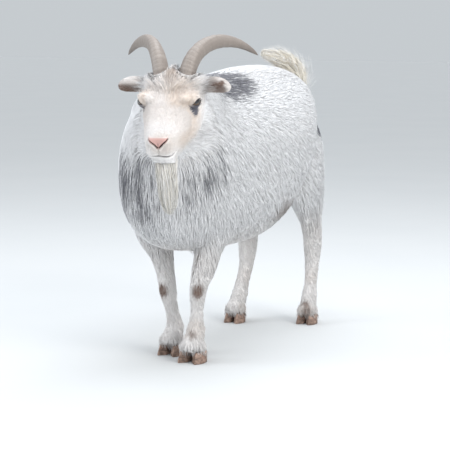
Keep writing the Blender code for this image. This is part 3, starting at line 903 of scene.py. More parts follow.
def coat_lie(points, normals, shares):
    """The way the coat lies at each point, along the skin."""
    head = in_head(points)
    side = np.sign(points[:, :1] - BODY_MIDDLE)
    sideways = np.array([1.0, 0, 0])
    flank = ramp(-points[:, 2], -0.66, -0.46)[:, None]
    trunk = np.array([0.0, 1.0, -0.10]) + flank * np.array([0.0, -0.30, -0.70])
    front = ramp(-points[:, 1], 0.10, 0.26)[:, None]
    trunk = trunk * (1 - front) + front * np.array([0.0, 0.20, -1.0])
    trunk = trunk + 0.35 * ramp(points[:, 2], 0.60, 0.70)[:, None] * side * sideways
    sway = (mottle(points, 0.06, 11) - 0.5)[:, None] * np.array([0.0, 0.9, 0.5])
    trunk = trunk + 0.45 * sway
    swirl = (mottle(points, 0.05, 12) - 0.5)[:, None]
    neck = np.array([0.0, 0.55, -0.85]) + 0.25 * side * sideways + swirl * np.array([0.5, 0.6, 0.0])
    across, back, up = head.T
    outward = np.clip(across / 0.05, -1, 1)[:, None]
    jaw = ramp(-up, 0.00, 0.05)[:, None]
    crown = (ramp(back, 0.115, 0.150) * ramp(up, 0.055, 0.080))[:, None]
    face = np.array([0.0, 1.0, 0.10]) + outward * (0.35 * sideways) + jaw * np.array([0.0, -0.15, -0.60])
    face = face + crown * outward * (0.5 * sideways)
    for hand in HANDS.values():
        to_horn = np.array(HORN_ROOT) * (hand, 1, 1) - head
        near = 0.5 * (1 - ramp(np.linalg.norm(to_horn, axis=1), 0.026, 0.036)[:, None])
        face = face * (1 - near) + near * unit(to_horn)
    by_region = {
        "head": turn_from_head(face),
        "ear": turn_from_head(np.sign(head[:, :1]) * sideways),
        "neck": neck,
        "trunk": trunk,
        "tail": np.broadcast_to([-0.25, 0.25, 1.0], points.shape),
        "leg": np.broadcast_to(DOWN + [0.0, 0.18, 0.0], points.shape),
    }
    lie = sum(shares[:, column, None] * unit(by_region[name]) for column, name in enumerate(REGIONS))
    lie -= dot(lie, normals) * normals
    return unit(lie)


def hair_length(points, shares):
    """How long the hair is at each point, shortest round the eyes."""
    ribs = sizes().coat_length
    _, back, up = in_head(points).T
    down = -points[:, 2]
    crown = ramp(back, 0.10, 0.15) * ramp(up, 0.045, 0.08)
    throat = ramp(back, 0.06, 0.14) * ramp(-up, 0.00, 0.05)
    cheek = ramp(back, 0.02, 0.14)
    chest = ramp(-points[:, 1], 0.08, 0.25) * ramp(down, -0.60, -0.48)
    low = ramp(down, -0.58, -0.36)
    length = by_share(shares, {
        "head": 0.0046 + 0.011 * cheek + 0.022 * crown + 0.020 * throat,
        "ear": 0.0075,
        "neck": ribs,
        "trunk": ribs * (0.70 + 0.45 * low + 0.45 * chest),
        "tail": 0.030,
        "leg": 0.0130 + 0.022 * ramp(points[:, 2], 0.14, 0.34),
    })
    for side in HANDS:
        near_eye = 1 - ramp(from_eye(points, side), 1.3 * EYE_RADIUS, 2.4 * EYE_RADIUS)
        length = length * (1 - 0.55 * near_eye)
    return length


class GOAT_OT_skin(bpy.types.Operator):
    """Make the one skin that lies under the coat, with its lids, nostrils and mouth"""

    bl_idname = "goat.skin"
    bl_label = "Skin"

    def execute(self, context):
        chosen = sizes()
        # the eyes' solids fill their sockets until the lids are opened
        obj = copy_of("skin", FLESH + ["eye_left", "eye_right"])
        remeshed(obj, voxel=chosen.skin_voxel * 1, rounds=14)
        thin_body(obj)
        mesh = obj.data
        shares = region_shares(mesh)
        points = points_of(mesh)
        normals = spread(mesh, numbers(mesh.vertices, "normal", 3), 3)
        depth = spread(mesh, coat_depth(points, shares)[:, None], 6)[:, 0]
        move_points(mesh, points - unit(normals) * depth[:, None])
        for column, name in enumerate(REGIONS):
            store(mesh, "share_" + name, shares[:, column])
        store(mesh, "depth", depth)
        creases = {name: on_skin(mesh, path) for name, path in CREASES.items()}
        finer(mesh, detailed)
        finer(mesh, lambda places: creased(places, creases))
        points = points_of(mesh)
        normals = numbers(mesh.vertices, "normal", 3)
        points, inside, bare = sculpt_muzzle(points, normals, creases)
        points, rim = sculpt_lids(points)
        move_points(mesh, points)
        normals = numbers(mesh.vertices, "normal", 3)
        shares = np.stack([read(mesh, "share_" + name) for name in REGIONS], 1)
        store(mesh, "lie", coat_lie(points, normals, shares), "FLOAT_VECTOR")
        store(mesh, "length", hair_length(points, shares))
        marks = markings(points)
        for name in MARKS:
            store(mesh, name, marks[name])
        # the lids' dark rims, and painted shade in the nostrils, the mouth's line and the groove under the
        # nose
        store(mesh, "rim", np.maximum(rim, 0.95 * inside))
        store(mesh, "bare", np.clip(marks["pink"] + rim + bare, 0, 1))
        mesh.shade_smooth()
        unwrap(obj)
        finish_piece(obj, skin_material(), "coat_white", *FLESH)
        return {"FINISHED"}


# ---- the coat -------------------------------------------------------------------------------------
ROOT_DEPTH = 0.0012   # how far under the skin a lock starts
CLUMP_REACH = 0.018   # the distance over which a clump draws its locks
DRIFT = 0.12          # how far a lock's own way strays from the coat's lie
FLOOR_GAP = 0.004     # the lowest hair's height over the floor
HORN_GAP = 0.0012     # no hair is rooted nearer to a horn
FACE_END = 0.085      # how far back from the nose the face's shortest hair reaches


class Ground:
    """The skin as the ground the coat grows from, with its numbers for each triangle."""

    def __init__(self, mesh):
        mesh.calc_loop_triangles()
        self.corners = numbers(mesh.loop_triangles, "vertices", 3, np.int32)
        self.loops = numbers(mesh.loop_triangles, "loops", 3, np.int32)
        self.areas = numbers(mesh.loop_triangles, "area")[:, 0]
        self.points = points_of(mesh)
        self.normals = numbers(mesh.vertices, "normal", 3)
        self.fields = {"lie": read(mesh, "lie", 3)}
        for name in ("depth", "length", "bare", *MARKS, *("share_" + region for region in REGIONS)):
            self.fields[name] = read(mesh, name)
        self.map = numbers(mesh.uv_layers["OFBake"].uv, "vector", 2)
        self.tree = BVHTree.FromPolygons(self.points.tolist(), self.corners.tolist())
        self.facing = unit(self.normals[self.corners].mean(1))
        self.soft_facing = unit(spread(mesh, self.normals, 4)[self.corners].mean(1))
        self.combed = unit(self.fields["lie"][self.corners].mean(1))
        self.depths = self.fields["depth"][self.corners].mean(1)
        self.centres = self.points[self.corners].mean(1)
        outer = bmesh.new()
        for name in FLESH + CLAWS:
            outer.from_mesh(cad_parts[name].data)
        self.outline = BVHTree.FromBMesh(outer)
        outer.free()

    def over(self, name):
        """A field's mean over each triangle."""
        return self.fields[name][self.corners].mean(1)

    def roots(self, count, where, rng):
        """Evenly spread places on the skin: triangle and the share of each of its corners."""
        total = np.cumsum(self.areas * where)
        at = (np.arange(count) + rng.random(count)) / count * total[-1]
        face = np.clip(np.searchsorted(total, at), 0, len(total) - 1)
        first, second = np.sqrt(rng.random(count)), rng.random(count)
        shares = np.stack([1 - first, first * (1 - second), first * second], 1)
        return face, shares

    def at(self, values, face, shares):
        picked = values[self.corners[face]]
        if picked.ndim == 2:
            return (picked * shares).sum(1)
        return (picked * shares[:, :, None]).sum(1)

    def nearest(self, points):
        found = [self.tree.find_nearest(point) for point in points.tolist()]
        spots = np.array([tuple(hit[0]) for hit in found])
        return spots, np.array([hit[2] for hit in found])

    def held_in(self, points, allowance, laid=False):
        """Points further out of the solids' outline than allowance, brought back, or all laid at it."""
        found = [self.outline.find_nearest(point) for point in points.tolist()]
        spots = np.array([tuple(hit[0]) for hit in found])
        facing = np.array([tuple(hit[1]) for hit in found])
        out = dot(points - spots, facing)[:, 0] - allowance
        return points - facing * (out if laid else np.maximum(out, 0))[:, None]


def combed(ground, face, place, facing, length, climb, drift, hang, joints):
    """Paths that start at the roots and follow the coat's lie, and the skin's facing along them."""
    path, normals = [place - facing * ROOT_DEPTH], [facing]
    here, on = place, face
    for joint in range(1, joints):
        t = joint / (joints - 1)
        heading = unit(ground.combed[on] + drift)
        heading = unit(heading * (1 - hang * t) + hang * t * DOWN)
        ahead = here + heading * (length / (joints - 1))[:, None]
        spots, on = ground.nearest(ahead)
        up = ground.soft_facing[on]
        level = ground.depths[on] * climb * sin(min(1.0, 1.15 * t) * pi / 2)
        height = dot(ahead - spots, up)[:, 0]
        pressed = spots + up * level[:, None]
        free = ahead + up * np.maximum(level - height, 0)[:, None]
        here = pressed * (1 - hang) + free * hang
        path.append(here)
        normals.append(up)
    return np.stack(path, 1), np.stack(normals, 1)


def nearest_of(chosen, place):
    """For each root, which of the chosen roots is the nearest."""
    finder = KDTree(len(chosen))
    for index, lock in enumerate(chosen):
        finder.insert(place[lock].tolist(), index)
    finder.balance()
    return chosen[[finder.find(point)[1] for point in place.tolist()]]


def grow(
    ground, count, where, rng, width, rise=(0.5, 1.0), hang=0.0, clump=0.3, size=8, wave=0.0, joints=4,
    stray=(-0.001, 0.003), longer=1.0, laid=False,
):
    """Locks of hair as paths of points from the skin, each following the coat's lie.

    rise is how much of the coat's depth they climb, hang how freely they fall, clump how far the
    tips of size neighbours gather, wave how far they swing from side to side, and stray how far
    they may stand out of the solids' outline. Laid locks all lie at that outline. Locks that would
    cross an open eye are left out.
    """
    face, shares = ground.roots(count, where, rng)
    place = ground.at(ground.points, face, shares)
    facing = unit(ground.at(ground.normals, face, shares))
    length = ground.at(ground.fields["length"], face, shares) * rng.uniform(0.70, 1.25, count) * longer
    climb = rng.uniform(*rise, count)
    drift = rng.normal(0, DRIFT, (count, 3))
    path, normals = combed(ground, face, place, facing, length, climb, drift, hang, joints)
    leaders = max(1, count // size)
    chosen = rng.permutation(count)[:leaders]
    leader = nearest_of(chosen, place)
    t = np.linspace(0, 1, joints)
    pull = clump * rng.uniform(0.5, 1.2, count)[:, None] * t**1.5
    near = np.exp(-((np.linalg.norm(place[leader] - place, axis=1) / CLUMP_REACH) ** 2))
    path = path + (near[:, None] * np.clip(pull, 0, 0.9))[:, :, None] * (path[leader] - path)
    across = unit(np.cross(normals, np.gradient(path, axis=1)))
    phase = rng.uniform(0, 2 * pi, leaders)[np.searchsorted(np.sort(chosen), leader)]
    swing = np.sin(phase[:, None] + 5.0 * t) - np.sin(phase[:, None])
    path = path + across * (wave * length[:, None] * swing * t)[:, :, None]
    allowance = rng.uniform(*stray, count)
    for joint in range(1 if laid else 2, joints):
        path[:, joint] = ground.held_in(path[:, joint], allowance, laid)
    path[:, :, 2] = np.maximum(path[:, :, 2], FLOOR + FLOOR_GAP)
    between = (path[:, 1:] + path[:, :-1]) / 2
    clear = ~(over_eye(path).any(1) | over_eye(between).any(1))
    marks = {name: ground.at(ground.fields[name], face, shares) for name in MARKS}
    # a grey patch is a mixture of dark locks and pale ones, more or less by clumps
    luck = 0.6 * rng.random(count) + 0.4 * rng.random(count)[leader]
    grey = marks["grey"]
    marks["grey"] = np.where(luck < grey * 1.15, 0.55 + 0.45 * grey, 0.18 * grey) * (grey > 0.02)
    for name in MARKS[1:]:
        marks[name] = marks[name] * rng.uniform(0.75, 1.15, count)
    loops = ground.map[ground.loops[face]]
    locks = {
        "path": path,
        "normal": normals,
        "width": width * rng.uniform(0.75, 1.25, count),
        "tone": rng.random(count) * 0.6 + 0.4 * rng.random(count)[leader],
        "root": (loops * shares[:, :, None]).sum(1),
        **marks,
    }
    return {name: values[clear] for name, values in locks.items()}


# for each count of points, a lock's width at them as a share of its full width
TAPER = {
    3: (0.75, 1.00, 0.06),
    4: (0.80, 1.00, 0.66, 0.05),
    5: (0.70, 1.00, 0.88, 0.52, 0.05),
}


def guides_mesh(batches):
    """The locks' paths as a mesh of edges, with what each lock needs on its points."""
    kinds = {name: "FLOAT" for name in ("width", "along", "tone", "lock", *MARKS)}
    kinds |= {"facing": "FLOAT_VECTOR", "root": "FLOAT_VECTOR"}
    fields = {name: [] for name in kinds}
    places, edges, made = [], [], 0
    for locks in batches:
        count, joints = locks["path"].shape[:2]
        places.append(locks["path"].reshape(-1, 3))
        starts = (made + np.arange(count)[:, None] * joints + np.arange(joints - 1)).ravel()
        edges.append(np.stack([starts, starts + 1], 1))
        fields["width"].append((locks["width"][:, None] * np.array(TAPER[joints])).ravel())
        fields["along"].append(np.tile(np.linspace(0, 1, joints), count))
        fields["lock"].append(np.repeat(np.arange(count) % 997 * 0.37, joints))
        fields["facing"].append(locks["normal"].reshape(-1, 3))
        fields["root"].append(np.repeat(np.pad(locks["root"], ((0, 0), (0, 1))), joints, axis=0))
        for name in ("tone", *MARKS):
            fields[name].append(np.repeat(locks[name], joints))
        made += count * joints
    places, edges = np.concatenate(places), np.concatenate(edges)
    mesh = bpy.data.meshes.new("guides")
    mesh.vertices.add(len(places))
    mesh.vertices.foreach_set("co", places.astype(np.float32).ravel())
    mesh.edges.add(len(edges))
    mesh.edges.foreach_set("vertices", edges.astype(np.int32).ravel())
    for name, kind in kinds.items():
        store(mesh, name, np.concatenate(fields[name]), kind)
    return mesh


def named(tree, name, kind="FLOAT"):
    node = tree.nodes.new("GeometryNodeInputNamedAttribute")
    node.data_type = kind
    node.inputs["Name"].default_value = name
    return node.outputs["Attribute"]


def kept(tree, geometry, name, value, kind="FLOAT", domain="POINT"):
    node = tree.nodes.new("GeometryNodeStoreNamedAttribute")
    node.data_type, node.domain = kind, domain
    tree.links.new(geometry, node.inputs["Geometry"])
    node.inputs["Name"].default_value = name
    tree.links.new(value, node.inputs["Value"])
    return node.outputs["Geometry"]


def lock_tree():
    """Sweeps a flat three-sided section along each path, tapering to the tip, and lays out its map."""
    inputs = {
        "Geometry": ("NodeSocketGeometry", None),
        "Flatness": ("NodeSocketFloat", 0.4),
        "Patch": ("NodeSocketFloat", 0.003),
        "Softness": ("NodeSocketFloat", 0.6),
        "Material": ("NodeSocketMaterial", None),
    }
    tree, given, out = group("Locks of hair", "GeometryNodeTree", inputs, {"Geometry": "NodeSocketGeometry"})

    def made(kind, sockets, output=0, **settings):
        return put(tree, kind, sockets, **settings).outputs[output]

    facing = named(tree, "facing", "FLOAT_VECTOR")
    curves = made("GeometryNodeMeshToCurve", {"Mesh": given["Geometry"]})
    curves = made("GeometryNodeSetCurveNormal", {"Curve": curves, "Normal": facing}, mode="FREE")
    ring = made("GeometryNodeCurvePrimitiveCircle", {"Resolution": 3, "Radius": 0.5})
    flat = made("ShaderNodeCombineXYZ", {"X": given["Flatness"], "Y": 1.0, "Z": 1.0})
    section = made("GeometryNodeTransform", {"Geometry": ring, "Scale": flat})
    section = kept(tree, section, "around", made("GeometryNodeSplineParameter", {}, "Factor"))
    sweep = made("GeometryNodeCurveToMesh", {
        "Curve": curves, "Profile Curve": section, "Scale": named(tree, "width"), "Fill Caps": True,
    })
    # the sides that face outwards are shaded like the coat round them
    own = made("GeometryNodeInputNormal", {}, "Normal")
    outward = vectors(tree, "DOT_PRODUCT", own, facing, "Value")
    share = maths(tree, "MULTIPLY", given["Softness"], steps(tree, outward, -0.2, 0.6))
    soft = made("ShaderNodeMix", {0: share, 4: own, 5: facing}, 1, data_type="VECTOR")
    sweep = made(
        "GeometryNodeSetMeshNormal", {"Mesh": sweep, "Custom Normal": soft}, mode="FREE", domain="POINT",
    )
    around, along = named(tree, "around"), named(tree, "along")
    fine = maths(tree, "MULTIPLY", along, 0.12)
    strand = made("ShaderNodeCombineXYZ", {"X": around, "Y": fine, "Z": named(tree, "lock")})
    sweep = kept(tree, sweep, "strand", strand, "FLOAT_VECTOR")
    # each lock's patch of the map lies round its root, and bends so that its ends have width
    middle_round = maths(tree, "SUBTRACT", around, 0.33)
    bent = maths(tree, "ABSOLUTE", middle_round)
    down = maths(tree, "MULTIPLY_ADD", bent, 0.12, maths(tree, "SUBTRACT", along, 0.5))
    shift = made("ShaderNodeCombineXYZ", {
        "X": maths(tree, "MULTIPLY", middle_round, given["Patch"]),
        "Y": maths(tree, "MULTIPLY", down, given["Patch"]),
    })
    place = vectors(tree, "ADD", named(tree, "root", "FLOAT_VECTOR"), shift)
    sweep = kept(tree, sweep, "OFBake", place, "FLOAT2", "CORNER")
    sweep = made("GeometryNodeRealizeInstances", {"Geometry": sweep})
    sweep = made("GeometryNodeSetMaterial", {"Geometry": sweep, "Material": given["Material"]})
    tree.links.new(sweep, out["Geometry"])
    return tree


def lock_piece(name, batches, slot="coat_white", nodes=(), softness=None):
    """One piece of coat, swept along the locks' paths as a plain joined mesh."""
    obj = new_object(name, guides_mesh(batches))
    sweep = obj.modifiers.new("locks", "NODES")
    sweep.node_group = bpy.data.node_groups.get("Locks of hair") or lock_tree()
    given = {item.name: item.identifier for item in sweep.node_group.interface.items_tree}
    chosen = sizes()
    sweep[given["Flatness"]] = chosen.lock_flatness
    sweep[given["Patch"]] = chosen.map_patch
    sweep[given["Softness"]] = chosen.softness if softness is None else softness
    sweep[given["Material"]] = coat_material()
    mesh = settled(obj)
    for spare in ("width", "facing", "root", "lock", "around"):
        if spare in mesh.attributes:
            mesh.attributes.remove(mesh.attributes[spare])
    mesh.shade_smooth()
    finish_piece(obj, coat_material(), slot, *nodes)


@cache
def ground():
    """The finished skin as the coat's ground, read once."""
    return Ground(bpy.data.objects["skin"].data)


TRUNK_PIECES = {
    # from and to along the body
    "coat_shoulder": (-0.50, SHOULDER_END),
    "coat_ribs": (SHOULDER_END, RIBS_END),
    "coat_rump": (RIBS_END, 0.60),
}


def some(count):
    return count


class GOAT_OT_body_coat(bpy.types.Operator):
    """Grow the coat of the trunk and the neck"""

    bl_idname = "goat.body_coat"
    bl_label = "Body coat"

    def execute(self, context):
        rng = np.random.default_rng(11)
        land = ground()
        chosen = sizes()
        trunk = land.over("share_trunk") > 0.5
        across, back = land.centres[:, 0], land.centres[:, 1]
        # longer hair stands further apart, and the chest's is the densest
        spacing = 1 / (0.6 + 0.4 * land.over("length") / chosen.coat_length)
        spacing = spacing * (1 + 0.55 * (back < SHOULDER_END))
        total = (land.areas * trunk * spacing).sum()
        for piece, (start, end) in TRUNK_PIECES.items():
            front = piece == "coat_shoulder"
            for side, hand in HANDS.items():
                here = (back >= start) & (back < end) & (np.sign(across - BODY_MIDDLE) == hand)
                where = trunk * here * spacing
                count = some(int(chosen.coat_count * (land.areas * where).sum() / total))
                locks = grow(
                    land, count, where, rng, chosen.lock_width, rise=(0.80, 1.0), clump=0.12,
                    hang=0.12 if front else 0.05, joints=4 if front else 3,
                )
                lock_piece(piece + "_" + side, [locks])
        others = [land.over("share_" + name) > 0.5 for name in REGIONS if name != "neck"]
        locks = grow(
            land, some(6800), 1.0 - np.any(others, 0), rng, chosen.lock_width, rise=(0.80, 1.0),
            hang=0.1, clump=0.2,
        )
        lock_piece("coat_neck", [locks])
        return {"FINISHED"}


class GOAT_OT_leg_coat(bpy.types.Operator):
    """Grow the coat of the legs, short and flat towards the feet"""

    bl_idname = "goat.leg_coat"
    bl_label = "Leg coat"

    def execute(self, context):
        rng = np.random.default_rng(12)
        land = ground()
        legs = land.over("share_leg") > 0.5
        back, up = land.centres[:, 1], land.centres[:, 2]
        fine = 1 + 1.6 * ramp(-up, -0.25, -0.10)
        for name, here in (("coat_legs_front", back < LEGS_PARTED), ("coat_legs_hind", back >= LEGS_PARTED)):
            upper = legs * here * (up > KNEE_HEIGHT) * fine
            lower = legs * here * (up <= KNEE_HEIGHT) * fine
            high = grow(land, some(4000), upper, rng, 0.0021, clump=0.25, joints=3)
            near_floor = grow(
                land, some(3600), lower, rng, 0.0018, rise=(0.5, 1.5), clump=0.3, size=6, joints=3,
            )
            hem = legs * here * ramp(up, 0.024, 0.030) * (up < 0.052)
            fringe = grow(
                land, some(800), hem, rng, 0.0019, rise=(0.8, 1.4), hang=0.9, clump=0.4, size=6,
                stray=(0.0012, 0.0034), longer=1.9, laid=True,
            )
            lock_piece(name, [high, near_floor, fringe])
        return {"FINISHED"}


def clear_of_horns(places):
    """True for places on the head that no horn covers."""
    horns = bmesh.new()
    for side in HANDS:
        horns.from_mesh(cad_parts["horn_" + side].data)
    tree = BVHTree.FromBMesh(horns)
    horns.free()
    _, back, up = in_head(places).T
    clear = np.ones(len(places), bool)
    for index in np.flatnonzero((back > 0.13) & (back < 0.23) & (up > 0.03)):
        clear[index] = tree.find_nearest(places[index].tolist())[3] > HORN_GAP
    return clear


class GOAT_OT_head_coat(bpy.types.Operator):
    """Grow the short hair of the face and ears, and the tuft on the crown"""

    bl_idname = "goat.head_coat"
    bl_label = "Head coat"

    def execute(self, context):
        rng = np.random.default_rng(13)
        land = ground()
        back, up = in_head(land.centres)[:, 1:].T
        furry = (land.over("bare") < 0.35) & clear_of_horns(land.centres)
        on_head = (land.over("share_head") > 0.5) & furry
        crown = ramp(back, 0.10, 0.14) * ramp(up, 0.050, 0.080)
        front = on_head * (back < FACE_END) * 1.0
        behind = on_head * (back >= FACE_END) * (1 + 1.2 * ramp(up, 0.02, 0.05))
        poll = on_head * crown * (back > 0.11)
        ears = (land.over("share_ear") > 0.5) * 1.0
        face = grow(
            land, some(7600), front, rng, 0.0010, rise=(0.3, 1.0), clump=0.3, size=6, joints=3,
            stray=(-0.0015, 0.0008),
        )
        ear_hair = grow(
            land, some(1700), ears, rng, 0.0011, rise=(0.3, 1.0), clump=0.3, size=6, joints=3,
            stray=(-0.0005, 0.0012),
        )
        lock_piece("coat_face", [face, ear_hair], softness=0.40)
        cheeks = grow(
            land, some(5600), behind, rng, 0.0014, rise=(0.4, 1.0), clump=0.3, stray=(-0.001, 0.002),
        )
        tuft = grow(
            land, some(1300), poll, rng, 0.0013, rise=(0.8, 2.4), clump=0.30, size=10, wave=0.03, joints=5,
            stray=(0.001, 0.011), longer=1.3,
        )
        lock_piece("coat_head", [cheeks, tuft], softness=0.55)
        return {"FINISHED"}


# shares of the tail's box: across, back, up; then half widths there
TAIL_PATH = [(0.72, 0.55, -0.25), (0.80, 0.72, 0.15), (0.78, 0.66, 0.45), (0.60, 0.50, 0.68),
             (0.35, 0.28, 0.84), (0.10, 0.06, 0.93)]
TAIL_HALVES = [(0.030, 0.026), (0.036, 0.033), (0.036, 0.034), (0.031, 0.029), (0.021, 0.020), (0.008, 0.008)]
# the tail's core, its strands and its loose wisps: count, width, start, reach, core, splay
TAIL_HANKS = (
    (700, 0.0045, (0.0, 0.72), (0.22, 0.45), 0.5, 0.0),
    (1300, 0.0018, (0.0, 0.75), (0.22, 0.45), 0.5, 0.30),
    (900, 0.0020, (0.0, 0.80), (0.22, 0.42), 0.1, 1.0),
)
TAIL_CREAM = ((0.35, 0.7), (0.4, 0.9), (0.1, 0.5))   # how cream each of them is, least and most
HANK_JOINTS = 5


def shaped_hank(path, halves, count, rng, width, land, start, reach, core, splay=0.0):
    """Long hair that fills a tapering shape round a path, from its core out to its edge.

    halves are the shape's half widths at the path's points. start and reach are where the locks
    begin and how far they run, as shares of the path. Returns the locks and how far out each is.
    """
    path, halves = np.asarray(path, float), np.array(halves)
    gone = lengths_of(path)
    gone = gone / gone[-1]
    begin = rng.uniform(*start, count)
    finish = np.minimum(begin + rng.uniform(*reach, count), 1.0 + 0.04 * rng.random(count))
    t = np.linspace(0, 1, HANK_JOINTS)
    s = begin[:, None] + (finish - begin)[:, None] * t
    wide, deep = (np.interp(s, gone, half) for half in halves.T)
    forward = unit(places_on(path, gone, s + 0.02) - places_on(path, gone, s - 0.02))
    side = unit(np.cross(forward, np.array([0.0, 1.0, 0.35])))
    up = np.cross(side, forward)
    angle = rng.uniform(0, 2 * pi, count)[:, None] + 0.25 * rng.normal(0, 1, count)[:, None] * t
    spot = np.sqrt(rng.random(count))[:, None]
    radius = core * spot + (1 - core) * spot * t**0.8 * (1 + splay * t)
    swing = 0.05 * np.sin(rng.uniform(0, 2 * pi, count)[:, None] + 4 * t) * t
    out = side * (np.cos(angle) * wide * (radius + swing))[:, :, None]
    out = out + up * (np.sin(angle) * deep * (radius + swing))[:, :, None]
    points = places_on(path, gone, s) + out
    face = np.array([land.tree.find_nearest(point)[2] for point in points[:, 0].tolist()])
    locks = {
        "path": points,
        "normal": unit(out + 1e-6),
        "width": width * rng.uniform(0.7, 1.3, count),
        "tone": rng.random(count),
        "root": land.map[land.loops[face]].mean(1),
    }
    return locks | {name: np.zeros(count) for name in MARKS}, spot[:, 0]


def sections(node, axis, count):
    """A node's middle and half widths at even steps along an axis of the row frame, from its high end."""
    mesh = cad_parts[node].data
    points = points_of(mesh)
    edges = numbers(mesh.edges, "vertices", 2, np.int32)
    low, high = points[:, axis].min(), points[:, axis].max()
    others = [index for index in range(3) if index != axis]
    path, halves = [], []
    for level in np.linspace(high - 0.0005, low + 0.0005, count):
        start, end = points[edges[:, 0]], points[edges[:, 1]]
        crossing = (start[:, axis] - level) * (end[:, axis] - level) < 0
        start, end = start[crossing], end[crossing]
        t = (level - start[:, axis]) / (end[:, axis] - start[:, axis])
        cut = start + t[:, None] * (end - start)
        path.append((cut.min(0) + cut.max(0)) / 2)
        halves.append((cut.max(0) - cut.min(0))[others] / 2)
    return np.array(path), np.array(halves)


class GOAT_OT_beard_and_tail(bpy.types.Operator):
    """Grow the long hair of the beard and the upturned tail"""

    bl_idname = "goat.beard_and_tail"
    bl_label = "Beard and tail"

    def execute(self, context):
        rng = np.random.default_rng(14)
        land = ground()
        path, halves = sections("beard", 2, 8)
        # the beard's hair starts inside the chin
        top = path[0] + (path[0] - path[1]) * 1.1
        path, halves = np.vstack([top, path]), np.vstack([halves[0] * 0.95, halves])
        core, _ = shaped_hank(
            path, 0.75 * halves, some(500), rng, 0.0045, land, (0.0, 0.20), (0.5, 0.85), 0.8,
        )
        fine, _ = shaped_hank(
            path, halves, some(2300), rng, 0.0015, land, (0.0, 0.45), (0.30, 0.85), 0.85, 0.12,
        )
        for locks in (core, fine):
            locks["cream"] = rng.uniform(0.05, 0.50, len(locks["cream"]))
        lock_piece("coat_beard", [core, fine], "coat_cream", ["beard"])
        tail_low, tail_high = (np.array(corner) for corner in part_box("tail"))
        span = tail_high - tail_low
        tail_path = [tail_low + span * share for share in TAIL_PATH]
        hanks = [
            shaped_hank(tail_path, TAIL_HALVES, some(count), rng, width, land, *shape)
            for count, width, *shape in TAIL_HANKS
        ]
        for (locks, spot), (low, high) in zip(hanks, TAIL_CREAM):
            outer = ramp(locks["path"][:, -1, 1], tail_low[1] + 0.35 * span[1], tail_high[1])
            locks["cream"] = rng.uniform(low, high, len(outer)) * (1 - 0.7 * outer)
            locks["buff"] = 0.5 * (1 - outer) * (1 - spot) * rng.random(len(outer))
        lock_piece("coat_tail", [locks for locks, _ in hanks], "coat_cream")
        return {"FINISHED"}


# ---- eyes -----------------------------------------------------------------------------------------
PUPIL_HALVES = (0.50, 0.24)   # across and up, as shares of the ball's radius


def eye_material():
    """A dark eye with a level, rounded slot for its pupil, seen through a clear coat."""
    material, tree, shader = blank_material("eye")
    shades = colours()
    gaze = put(tree, "ShaderNodeSeparateXYZ", {0: attribute(tree, "gaze", "Vector")})
    across, up = gaze.outputs["X"], gaze.outputs["Y"]
    squares = maths(tree, "ADD", maths(tree, "POWER", across, 2.0), maths(tree, "POWER", up, 2.0))
    cubes = []
    for way, half in ((across, PUPIL_HALVES[0]), (up, PUPIL_HALVES[1])):
        share = maths(tree, "ABSOLUTE", maths(tree, "DIVIDE", way, half))
        cubes.append(maths(tree, "POWER", share, 3.0))
    pupil = steps(tree, maths(tree, "ADD", *cubes), 0.75, 1.15, 1.0, 0.0)
    fibres = noise(tree, attribute(tree, "ray", "Vector"), 9.0, 4.0)
    iris = mixed(tree, fibres, colour(shades.iris, 0.35), colour(shades.iris))
    ring = steps(tree, maths(tree, "SQRT", squares), 0.62, 0.76)
    ball = mixed(tree, ring, iris, (0.045, 0.028, 0.020, 1.0))
    finish(tree, shader, mixed(tree, pupil, ball, (0.004, 0.004, 0.006, 1.0)))
    set_inputs(shader, {"Roughness": 0.07, "Coat Weight": 0.6, "Coat Roughness": 0.03})
    return material


class GOAT_OT_eyes(bpy.types.Operator):
    """Make the eyes, with a clear bulge over a level pupil"""

    bl_idname = "goat.eyes"
    bl_label = "Eyes"

    def execute(self, context):
        material = eye_material()
        for side in HANDS:
            slit, height, look = (Vector(axis) for axis in eye_axes(side))
            shape = bmesh.new()
            bmesh.ops.create_uvsphere(shape, u_segments=48, v_segments=32, radius=EYE_RADIUS)
            points = np.array([vert.co for vert in shape.verts])
            ahead = points[:, 2] / EYE_RADIUS
            bulge = 1 + 0.045 * ramp(ahead, 0.72, 1.0)
            turn = np.array([slit, height, look])
            for vert, grown in zip(shape.verts, bulge):
                vert.co = Vector(np.array(vert.co) * grown @ turn) + EYES[side]
            # the left eye's axes are a mirrored set, so its faces are turned to point outwards again
            shape.normal_update()
            bmesh.ops.recalc_face_normals(shape, faces=shape.faces)
            mesh = bpy.data.meshes.new("eyeball_" + side)
            shape.to_mesh(mesh)
            shape.free()
            store(mesh, "gaze", points / EYE_RADIUS, "FLOAT_VECTOR")
            angle = np.arctan2(points[:, 1], points[:, 0])
            ray = np.stack([np.cos(angle), np.sin(angle), 0.15 * ahead], 1)
            store(mesh, "ray", ray, "FLOAT_VECTOR")
            mesh.shade_smooth()
            finish_piece(new_object("eyeball_" + side, mesh), material, "eye", "eye_" + side)
        return {"FINISHED"}


# ---- horns ----------------------------------------------------------------------------------------
# The left horn's middle from root to tip in the head's frame, and its sweep outwards
HORN_PATH = [(0.026, 0.172, 0.062), (0.031, 0.184, 0.094), (0.042, 0.211, 0.120), (0.061, 0.250, 0.131),
             (0.087, 0.289, 0.126), (0.115, 0.322, 0.107), (0.138, 0.345, 0.081), (0.148, 0.354, 0.066)]
HORN_SWEEP = 1.08
RING_PITCH = 0.0085   # between the horn's growth rings


